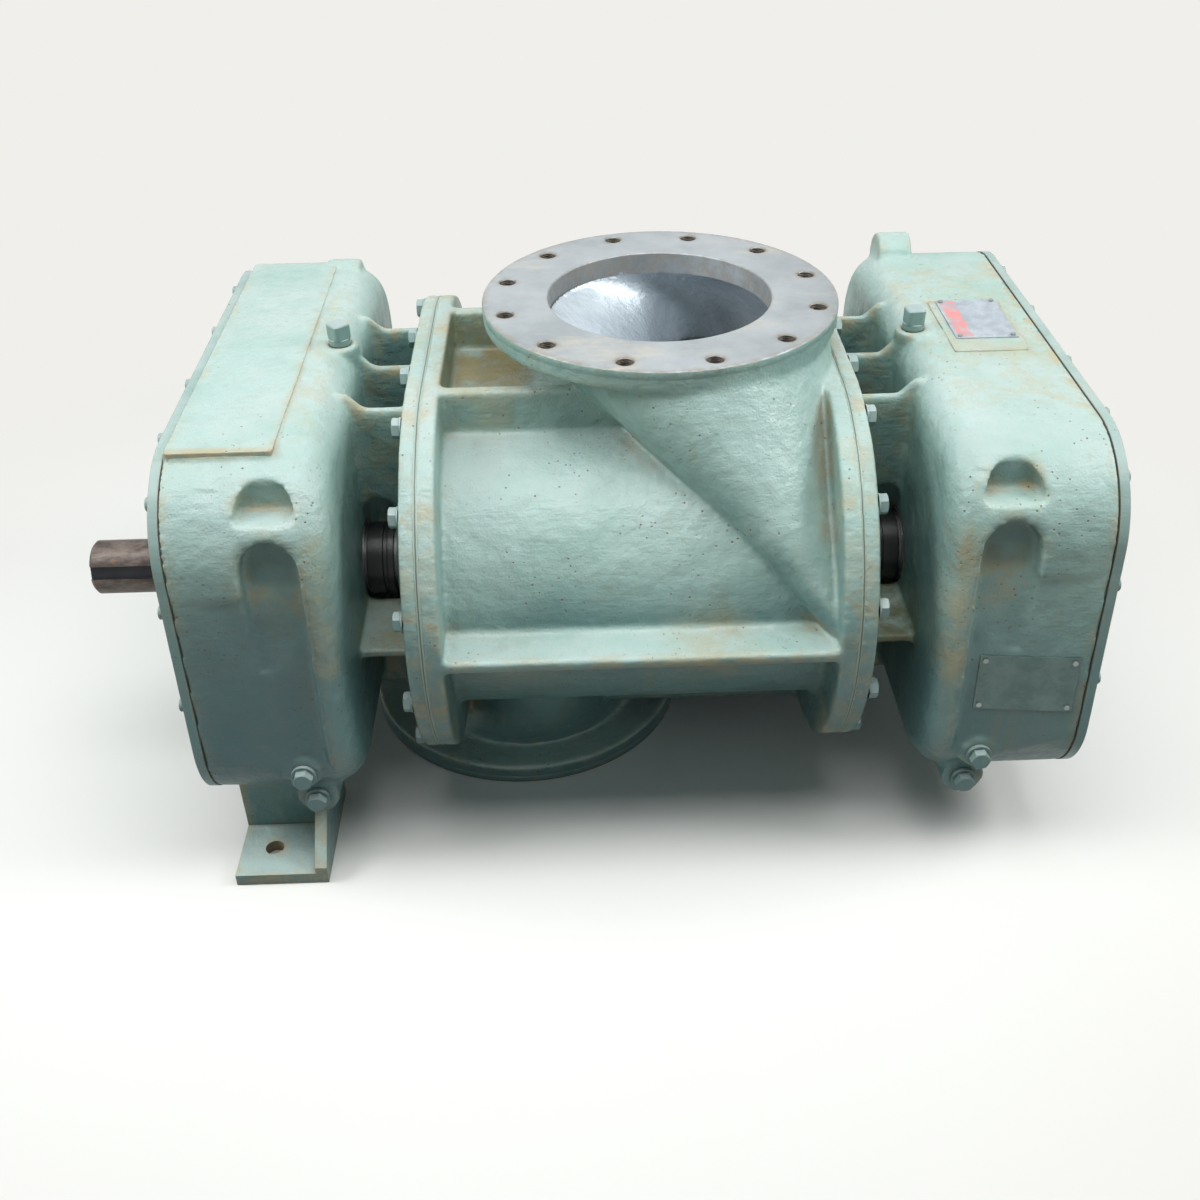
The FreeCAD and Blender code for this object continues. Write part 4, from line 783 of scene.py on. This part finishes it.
def under_flange_face(p, centre_x, depth):
    """True where a crisp machined flange face will stand instead of the soft casting."""
    radius = np.hypot(p[:, 0] - centre_x, p[:, 1])
    top = (depth < 0.0036) & (radius > THROAT - 0.02) & (radius < FLANGE_RADIUS + 0.02)
    throat = (depth < 0.0285) & (radius < THROAT + 0.006)
    turn = np.arctan2(p[:, 1], p[:, 0] - centre_x)
    share = np.mod(turn, math.radians(HOLE_STEP)) - math.radians(HOLE_STEP / 2)
    to_hole = np.hypot(radius * np.cos(share) - HOLE_CIRCLE, radius * np.sin(share))
    return top | throat | ((depth < HOLE_DEPTH) & (to_hole < HOLE_REACH))


# %% Passages
CHAMBER_RADIUS = 0.1925
PASSAGE_WALL = 0.006
# height, middle in X, half width in X, half width in Y of each oval
PASSAGES = (((0.640, 0.212, 0.152, 0.152), (0.600, 0.263, 0.124, 0.176), (0.545, 0.301, 0.103, 0.194)),
            ((0.020, 0.004, 0.146, 0.154), (0.062, 0.025, 0.113, 0.165), (0.140, 0.040, 0.092, 0.178)))


def in_passage(p):
    """True inside the cored passages and the rotor chamber; each passage is a stack of ovals."""
    inside = np.hypot(np.abs(p[:, 1]) - AXIS_Y, p[:, 2] - AXIS_Z) < CHAMBER_RADIUS
    for ovals in PASSAGES:
        ovals = sorted(ovals)
        heights = [row[0] for row in ovals]
        middle, half_x, half_y = (np.interp(p[:, 2], heights, [row[k] for row in ovals]) for k in (1, 2, 3))
        between = (p[:, 2] > heights[0] - 0.03) & (p[:, 2] < heights[-1] + 0.01)
        reach = np.hypot((p[:, 0] - middle) / (half_x + PASSAGE_WALL), p[:, 1] / (half_y + PASSAGE_WALL))
        inside |= between & (reach < 1.0)
    return inside


# %% Cast pieces
PAD_TOP, PAD_BOTTOM = 0.6110, 0.5940
PAD_EDGE, PAD_SINK = 0.001, 0.0015
TOP_PADS = {"drive_end_top_pad": ((-0.4030, -0.304), (-0.2720, 0.304)),
            "free_end_top_pad": ((0.6060, -0.080), (0.7060, 0.090))}


def sink_under_pads(mesh):
    """Lowers the soft casting a little where a crisp raised pad will stand."""
    points = coordinates(mesh)
    for low, high in TOP_PADS.values():
        under = points[:, 2] > PAD_TOP - 0.012
        for axis in (0, 1):
            under &= (points[:, axis] > low[axis] + PAD_EDGE) & (points[:, axis] < high[axis] - PAD_EDGE)
        points[under, 2] -= PAD_SINK
    mesh.vertices.foreach_set("co", points.ravel())
    mesh.update()


casing_skin = cast_skin("rotor_casing", 0.0034, casing_pins, 199000)
middles = face_middles(casing_skin)
hidden = under_flange_face(middles, INLET_X, FLANGE_TOP - middles[:, 2])
hidden |= under_flange_face(middles, DISCHARGE_X, middles[:, 2])
inner = in_passage(middles)
piece("rotor_casing_casting", kept_faces(casing_skin, "casing_outside", ~hidden & ~inner), casting_enamel,
      replaced=["rotor_casing"])
piece("rotor_casing_passages", kept_faces(casing_skin, "casing_inside", ~hidden & inner), passage_metal)
for head_node in ("drive_end_head", "free_end_head"):
    head_skin = cast_skin(head_node, 0.0036, head_pins, 190000)
    sink_under_pads(head_skin)
    piece(head_node + "_casting", head_skin, head_enamel, replaced=[head_node])

# %% [markdown]
# ## Machined flange faces
# The two port flanges are bare ground metal with twelve tapped holes each. A Boolean could drill them, but it
# leaves long thin triangles that shade badly. So the face is laid out hole by hole: each hole owns a twelfth of
# the ring, and quads run from its round edge to the edge of its share. Every thread is one long strip wound down
# the hole.

# %% Rings, bridges and lathes
HOLE_COUNT = 12
ROUND = 32


def polar(radius, angle):
    return Vector((radius * math.cos(angle), radius * math.sin(angle), 0.0))


def share_edge(k, outer, inner):
    """Points round the edge of one hole's share of the ring, from its outer right corner."""
    start, turn, side = math.radians(HOLE_STEP * k), math.radians(HOLE_STEP), ROUND // 4
    steps = [i / side for i in range(side)]
    points = [polar(outer, start + turn * t) for t in steps]
    points += [polar(outer + (inner - outer) * t, start + turn) for t in steps]
    points += [polar(inner, start + turn * (1 - t)) for t in steps]
    points += [polar(inner + (outer - inner) * t, start) for t in steps]
    return points


def bridge(bm, ring_a, ring_b, closed=True):
    count = len(ring_a)
    for i in range(count if closed else count - 1):
        j = (i + 1) % count
        bm.faces.new((ring_a[i], ring_a[j], ring_b[j], ring_b[i]))


def lathe_rings(bm, profile, count):
    """Rings of points round the Z axis, one for each radius and height, joined in order."""
    rings = [[bm.verts.new(polar(radius, 2 * math.pi * i / count) + Vector((0, 0, height))) for i in range(count)]
             for radius, height in profile]
    for above, below in zip(rings, rings[1:]):
        bridge(bm, above, below)
    return rings


def settled(bm, name, centre, flip, smooth=False):
    """Turns a bmesh drawn at the origin into a mesh in its place; flip turns it to look down."""
    bmesh.ops.remove_doubles(bm, verts=bm.verts, dist=1e-6)
    bmesh.ops.recalc_face_normals(bm, faces=bm.faces)
    turn = Matrix.Rotation(math.pi, 4, "X") if flip else Matrix.Identity(4)
    bmesh.ops.transform(bm, matrix=Matrix.Translation(centre) @ turn, verts=bm.verts)
    mesh = bpy.data.meshes.new(name)
    bm.to_mesh(mesh)
    bm.free()
    mesh.polygons.foreach_set("use_smooth", [smooth] * len(mesh.polygons))
    return mesh


# %% Flange faces
# radius and height of each ring, from the face downwards
HOLE_RINGS = ((0.0165, 0.0), (0.0126, 0.0), (0.0112, -0.0015), (0.0112, -0.0242))
OUTER_EDGE = ((FLANGE_RADIUS - 0.0010, 0.0), (FLANGE_RADIUS + 0.0002, -0.0012))
INNER_EDGE = ((THROAT + 0.0012, 0.0), (THROAT, -0.0014), (THROAT, -0.0300), (THROAT + 0.008, -0.0305))
PAINTED_RIM = ((FLANGE_RADIUS + 0.0002, -0.0012), (FLANGE_RADIUS + 0.0006, -0.0030),
               (FLANGE_RADIUS + 0.0005, -0.0100), (FLANGE_RADIUS - 0.0035, -0.0170))
AROUND = HOLE_COUNT * ROUND // 4


def hole_place(k):
    return polar(HOLE_CIRCLE, math.radians(HOLE_STEP * (k + 0.5)))


def ground_face(name, centre, flip, metal):
    bm = bmesh.new()
    for k in range(HOLE_COUNT):
        first = math.radians(HOLE_STEP * (k + 0.5) - 45.0)
        last = [bm.verts.new(p) for p in share_edge(k, OUTER_EDGE[0][0], INNER_EDGE[0][0])]
        for radius, height in HOLE_RINGS:
            edge = [bm.verts.new(hole_place(k) + polar(radius, first + 2 * math.pi * i / ROUND)
                                 + Vector((0, 0, height))) for i in range(ROUND)]
            bridge(bm, last, edge)
            last = edge
        bm.faces.new(last)
    lathe_rings(bm, OUTER_EDGE, AROUND)
    lathe_rings(bm, INNER_EDGE, AROUND)
    piece(name, settled(bm, name, centre, flip), metal)


def painted_rim(name, centre, flip):
    bm = bmesh.new()
    lathe_rings(bm, PAINTED_RIM, AROUND)
    piece(name, settled(bm, name, centre, flip, True), casting_enamel)


# %% Threads
THREAD_PITCH, THREAD_STEPS, THREAD_TURNS = 0.0024, 16, 9
THREAD_CREST, THREAD_ROOT, THREAD_START = 0.0096, 0.0110, -0.0012


def threads(name, centre, flip):
    bm = bmesh.new()
    for k in range(HOLE_COUNT):
        crest, root = [], []
        for i in range(THREAD_STEPS * THREAD_TURNS):
            angle, drop = 2 * math.pi * i / THREAD_STEPS, THREAD_START - THREAD_PITCH * i / THREAD_STEPS
            for strip, radius, height in ((crest, THREAD_CREST, drop), (root, THREAD_ROOT, drop - THREAD_PITCH / 2)):
                strip.append(bm.verts.new(hole_place(k) + polar(radius, angle) + Vector((0, 0, height))))
        bridge(bm, crest, root, closed=False)
        bridge(bm, root[:-THREAD_STEPS], crest[THREAD_STEPS:], closed=False)
    piece(name, settled(bm, name, centre, flip), thread_rust)


for flange, centre, flip, metal in (("inlet_flange", Vector((INLET_X, 0.0, FLANGE_TOP)), False, inlet_face_metal),
                                    ("discharge_flange", Vector((DISCHARGE_X, 0.0, 0.0)), True, discharge_face_metal)):
    ground_face(flange + "_face", centre, flip, metal)
    painted_rim(flange + "_rim", centre, flip)
    threads(flange + "_threads", centre, flip)

# %% [markdown]
# ## Painted-over joints
# The casing and the heads were painted after assembly, so the paint bridges the gasket between them and only a
# hairline crack shows. A dark groove cut in the mesh would look too wide, so a low bead follows the joint's
# outline instead, two half rounds and the straight runs between them, and its finish draws the crack.

# %% Joint beads
FLANGE_REACH = 0.267
JOINTS = {"drive_end_joint_bead": -0.1085, "free_end_joint_bead": 0.4445}
# place across the joint and depth below the flange's edge, along the bead's section
BEAD_SECTION = ((-0.0036, 0.0030), (-0.0028, 0.0009), (-0.0012, 0.0004),
                (0.0012, 0.0004), (0.0028, 0.0009), (0.0036, 0.0030))
ARC_STEPS = 64


def crack_paint(name, joint_x):
    f = Finish(name)
    colour = paint_lit_from_above(f, f.noise(5.0, 5.0, 0.6, seed=1.0), f.upwards(), GREEN, PALE)
    wander = f.times(f.math("SUBTRACT", f.noise(40.0, 4.0, 0.6, seed=3.0), 0.5), 0.0012)
    off = f.math("ABSOLUTE", f.math("ADD", f.math("SUBTRACT", f.split()[0], joint_x), wander))
    crack = f.ramp(off, 0.0009, 0.0003)
    colour = f.tint(colour, (0.30, 0.27, 0.17), f.ramp(off, 0.0032, 0.0010), 0.35)
    colour = f.tint(colour, (0.085, 0.075, 0.050), crack, 0.85)
    normal = f.bump(f.noise(300.0, 3.0, 0.6), 0.0005, f.bump(f.times(crack, -1.0), 0.0006))
    return f.finish(colour, 0.38, normal=normal)


def joint_bead(name, joint_x):
    bm = bmesh.new()
    rings = []
    for across, sink in BEAD_SECTION:
        ring, reach = [], FLANGE_REACH - sink
        for side in (1, -1):
            for i in range(ARC_STEPS + 1):
                angle = math.radians(90.0 - 180.0 * i / ARC_STEPS)
                ring.append(bm.verts.new((joint_x + across, side * (AXIS_Y + reach * math.cos(angle)),
                                          AXIS_Z + side * reach * math.sin(angle))))
        rings.append(ring)
    for near, far in zip(rings, rings[1:]):
        bridge(bm, near, far)
    piece(name, settled(bm, name, Vector(), False, True), crack_paint(name + "_paint", joint_x))


for bead_name, joint_x in JOINTS.items():
    joint_bead(bead_name, joint_x)

# %% [markdown]
# ## Raised pads
# Each head carries a flat pad on its top. Its upper face was cleaned up after casting, so its edges are crisper
# than the rest. The soft skin can't show that, and a cube with a Bevel modifier would need its draft added by
# hand. A ring of points at each height gives the draft, rounded corners and a narrow worn edge in one go.

# %% Raised pads
PAD_CORNER, CORNER_STEPS = 0.006, 5
# inset and height of each ring, from the root to the flat
PAD_RINGS = ((-0.0030, PAD_BOTTOM), (-0.0008, PAD_BOTTOM + 0.004), (0.0, PAD_TOP - 0.0012),
             (0.0004, PAD_TOP - 0.0003), (0.0013, PAD_TOP))


def raised_pad(name, low, high):
    bm = bmesh.new()
    west, east = low[0] + PAD_CORNER, high[0] - PAD_CORNER
    south, north = low[1] + PAD_CORNER, high[1] - PAD_CORNER
    rings = []
    for inset, height in PAD_RINGS:
        ring = []
        for k, (x, y) in enumerate(((east, north), (west, north), (west, south), (east, south))):
            for i in range(CORNER_STEPS + 1):
                angle = math.radians(90.0 * (k + i / CORNER_STEPS))
                ring.append(bm.verts.new(Vector((x, y, height)) + polar(PAD_CORNER - inset, angle)))
        rings.append(ring)
    for lower, upper in zip(rings, rings[1:]):
        bridge(bm, lower, upper)
    bm.faces.new(rings[-1])
    piece(name, settled(bm, name, Vector(), False), head_enamel)


for pad_name, (pad_low, pad_high) in TOP_PADS.items():
    raised_pad(pad_name, pad_low, pad_high)

# %% [markdown]
# ## Bolts, screws and plugs
# The CAD solids say where every fastener sits. A detailed head is drawn once for each kind: rings of points
# that the spanner flats hold in, with the turned chamfer that a real hexagon has. Copying it by hand seventy
# times would be dull and easy to get wrong. A Geometry Nodes tree stands one on every seat instead, each with its
# own chance turn about its axis, as a spanner leaves them.

# %% Fastener shapes
ROUND_STEPS = 24
BEYOND = 1.0    # a radius past every flat, so that the flats alone shape the ring
CHAMFER_FROM, CHAMFER_SLOPE = 0.475, 0.58


def radius_within(flats, sides, angle):
    """Distance from the middle to a prism's side, in one direction."""
    half = math.pi / sides
    return flats / 2.0 / math.cos((angle + half) % (2.0 * half) - half)


def fastener(name, rows, sides=6):
    """A template standing on the origin; rows are height, radius, spanner flats (0 for none) and chamfered."""
    bm = bmesh.new()
    last = None
    for height, radius, flats, chamfered in rows:
        ring = []
        for i in range(ROUND_STEPS):
            angle = 2.0 * math.pi * i / ROUND_STEPS
            reach = min(radius, radius_within(flats, sides, angle)) if flats else radius
            drop = max(0.0, reach - flats * CHAMFER_FROM) * CHAMFER_SLOPE if chamfered else 0.0
            ring.append(bm.verts.new(polar(reach, angle) + Vector((0.0, 0.0, height - drop))))
        if last:
            bridge(bm, last, ring)
        last = ring
    bm.faces.new(last)
    item = bpy.data.objects.new(name, settled(bm, name, Vector(), False))
    bpy.context.scene.collection.objects.link(item)
    return item


def hexagon(name, flats, height, shank, washer=0.0, thick=0.0):
    top = thick + height
    rows = [(-0.010, shank, 0, False), (0.0, shank, 0, False)]
    if washer:
        rows += [(0.0, washer, 0, False), (thick - 0.0004, washer, 0, False), (thick, washer - 0.0005, 0, False)]
    rows += [(thick, BEYOND, flats, False), (top, BEYOND, flats, True), (top, flats * CHAMFER_FROM, 0, False),
             (top, flats * 0.36, 0, False)]
    return fastener(name, rows)


def socket_screw(name, radius, height, flats):
    return fastener(name, [(-0.004, radius * 0.6, 0, False), (0.0, radius, 0, False),
                           (height - 0.0009, radius, 0, False), (height, radius - 0.0009, 0, False),
                           (height, BEYOND, flats, False), (height * 0.45, BEYOND, flats, False)])


def square_plug(name, collar, flats, corner, base, height):
    return fastener(name, [(-0.010, collar * 0.8, 0, False), (0.0, collar, 0, False), (base - 0.0006, collar, 0, False),
                           (base, collar - 0.0008, 0, False), (base, corner, flats, False),
                           (height - 0.0016, corner, flats, False), (height, corner - 0.0022, flats - 0.0030, False)],
                    sides=4)


# %% [markdown]
# ### Seats
# A CAD node can hold many fasteners in one mesh. Points joined by edges belong to one solid, so the lowest label
# is passed along the edges until nothing changes. The middle of each solid's outermost face is its head's top,
# and one head height below it is the seat.

# %% Seats
def islands(node):
    """The points of each separate solid in a CAD node."""
    mesh = merged_copy(node, node + "_points")
    points = coordinates(mesh)
    ends = np.empty(len(mesh.edges) * 2, dtype=np.int64)
    mesh.edges.foreach_get("vertices", ends)
    a, b = ends[0::2], ends[1::2]
    label = np.arange(len(points))
    settled_now = False
    while not settled_now:
        before = label.copy()
        lowest = np.minimum(label[a], label[b])
        np.minimum.at(label, a, lowest)
        np.minimum.at(label, b, lowest)
        settled_now = bool((label == before).all())
    return [points[label == k] for k in np.unique(label)]


def seats(node, outward, height):
    """Where each fastener's head starts, found from the middle of its outermost face."""
    places = []
    direction = np.array(outward)
    for points in islands(node):
        along = points @ direction
        places.append(points[along > along.max() - 0.0001].mean(axis=0) - direction * height)
    return places


# %% The tree that fills the seats
def fastener_tree():
    tree = bpy.data.node_groups.new("fasteners_on_their_seats", "GeometryNodeTree")
    for title, kind in (("Seats", "Geometry"), ("Fastener", "Object"), ("Outward", "Vector"), ("Finish", "Material"),
                        ("Turn seed", "Int")):
        tree.interface.new_socket(title, in_out="INPUT", socket_type="NodeSocket" + kind)
    tree.interface.new_socket("Fitted", in_out="OUTPUT", socket_type="NodeSocketGeometry")
    given = tree.nodes.new("NodeGroupInput")
    fitted = tree.nodes.new("NodeGroupOutput")
    shape = tree.nodes.new("GeometryNodeObjectInfo")
    look = tree.nodes.new("FunctionNodeAlignRotationToVector")
    chance = tree.nodes.new("FunctionNodeRandomValue")
    chance.inputs[3].default_value = 2.0 * math.pi
    spin = tree.nodes.new("FunctionNodeAxisAngleToRotation")
    both = tree.nodes.new("FunctionNodeRotateRotation")
    both.rotation_space = "LOCAL"
    stand = tree.nodes.new("GeometryNodeInstanceOnPoints")
    solid = tree.nodes.new("GeometryNodeRealizeInstances")
    paint = tree.nodes.new("GeometryNodeSetMaterial")
    for source, target in ((given.outputs["Seats"], stand.inputs["Points"]),
                           (given.outputs["Fastener"], shape.inputs["Object"]),
                           (shape.outputs["Geometry"], stand.inputs["Instance"]),
                           (given.outputs["Outward"], look.inputs["Vector"]),
                           (given.outputs["Turn seed"], chance.inputs["Seed"]),
                           (chance.outputs[1], spin.inputs["Angle"]),
                           (look.outputs["Rotation"], both.inputs["Rotation"]),
                           (spin.outputs["Rotation"], both.inputs["Rotate By"]),
                           (both.outputs["Rotation"], stand.inputs["Rotation"]),
                           (stand.outputs["Instances"], solid.inputs["Geometry"]),
                           (solid.outputs["Geometry"], paint.inputs["Geometry"]),
                           (given.outputs["Finish"], paint.inputs["Material"]),
                           (paint.outputs["Geometry"], fitted.inputs["Fitted"])):
        tree.links.new(source, target)
    return tree


FASTENER_TREE = fastener_tree()


def fitted(name, places, outward, template, metal, slot, replaced, seed):
    """Runs the tree over some seats and keeps the result as one plain mesh."""
    mesh = bpy.data.meshes.new(name + "_seats")
    mesh.from_pydata([tuple(place) for place in places], [], [])
    item = bpy.data.objects.new(name + "_seats", mesh)
    bpy.context.scene.collection.objects.link(item)
    modifier = item.modifiers.new("fasteners", "NODES")
    modifier.node_group = FASTENER_TREE
    keys = {socket.name: socket.identifier for socket in FASTENER_TREE.interface.items_tree}
    modifier[keys["Fastener"]] = template
    modifier[keys["Outward"]] = tuple(outward)
    modifier[keys["Finish"]] = metal
    modifier[keys["Turn seed"]] = seed
    bpy.context.view_layer.update()
    result = bpy.data.meshes.new_from_object(item.evaluated_get(bpy.context.evaluated_depsgraph_get()))
    bpy.data.objects.remove(item)
    return piece(name, result, metal, replaced=replaced)


# %% Fasteners in place
UP, DOWN, FORWARD = (0.0, 0.0, 1.0), (0.0, 0.0, -1.0), (0.0, -1.0, 0.0)
LEAN = math.atan2(0.034, 0.502)
FRONT_WALL = (0.0, -math.cos(LEAN), math.sin(LEAN))
TURN_SEED, FOOT_SEED = 11, 5
head_bolt = hexagon("head_bolt_shape", flats=0.0238, height=0.010, shank=0.0079, washer=0.0143, thick=0.0025)
front_bolt = hexagon("front_bolt_shape", flats=0.0234, height=0.011, shank=0.0080, washer=0.0170, thick=0.0050)
foot_bolt = hexagon("foot_bolt_shape", flats=0.0239, height=0.010, shank=0.0080)
cover_screw = socket_screw("cover_screw_shape", radius=0.0090, height=0.0090, flats=0.0085)
fill_plug = square_plug("fill_plug_shape", collar=0.0150, flats=0.0260, corner=0.0163, base=0.0085, height=0.0290)
for seed, (end, out) in enumerate((("drive_end", (-1.0, 0.0, 0.0)), ("free_end", (1.0, 0.0, 0.0)))):
    for kind, outward, height, template in (("head_bolts", out, 0.0125, head_bolt),
                                            ("cover_screws", out, 0.0090, cover_screw),
                                            ("fill_plug", UP, 0.0210, fill_plug),
                                            ("drain_bolt", FRONT_WALL, 0.0160, front_bolt),
                                            ("lug_bolt", FORWARD, 0.0160, front_bolt)):
        node = "%s_%s" % (end, kind)
        fitted(node + "_dressed", seats(node, outward, height), outward, template, bolt_enamel, slot_of[node],
               [node], TURN_SEED + seed)
fitted("foot_bolts_dressed", seats("foot_bolts", DOWN, 0.010), DOWN, foot_bolt, bolt_enamel,
       slot_of["foot_bolts"], ["foot_bolts"], FOOT_SEED)
for template in (head_bolt, front_bolt, foot_bolt, cover_screw, fill_plug):
    bpy.data.objects.remove(template)
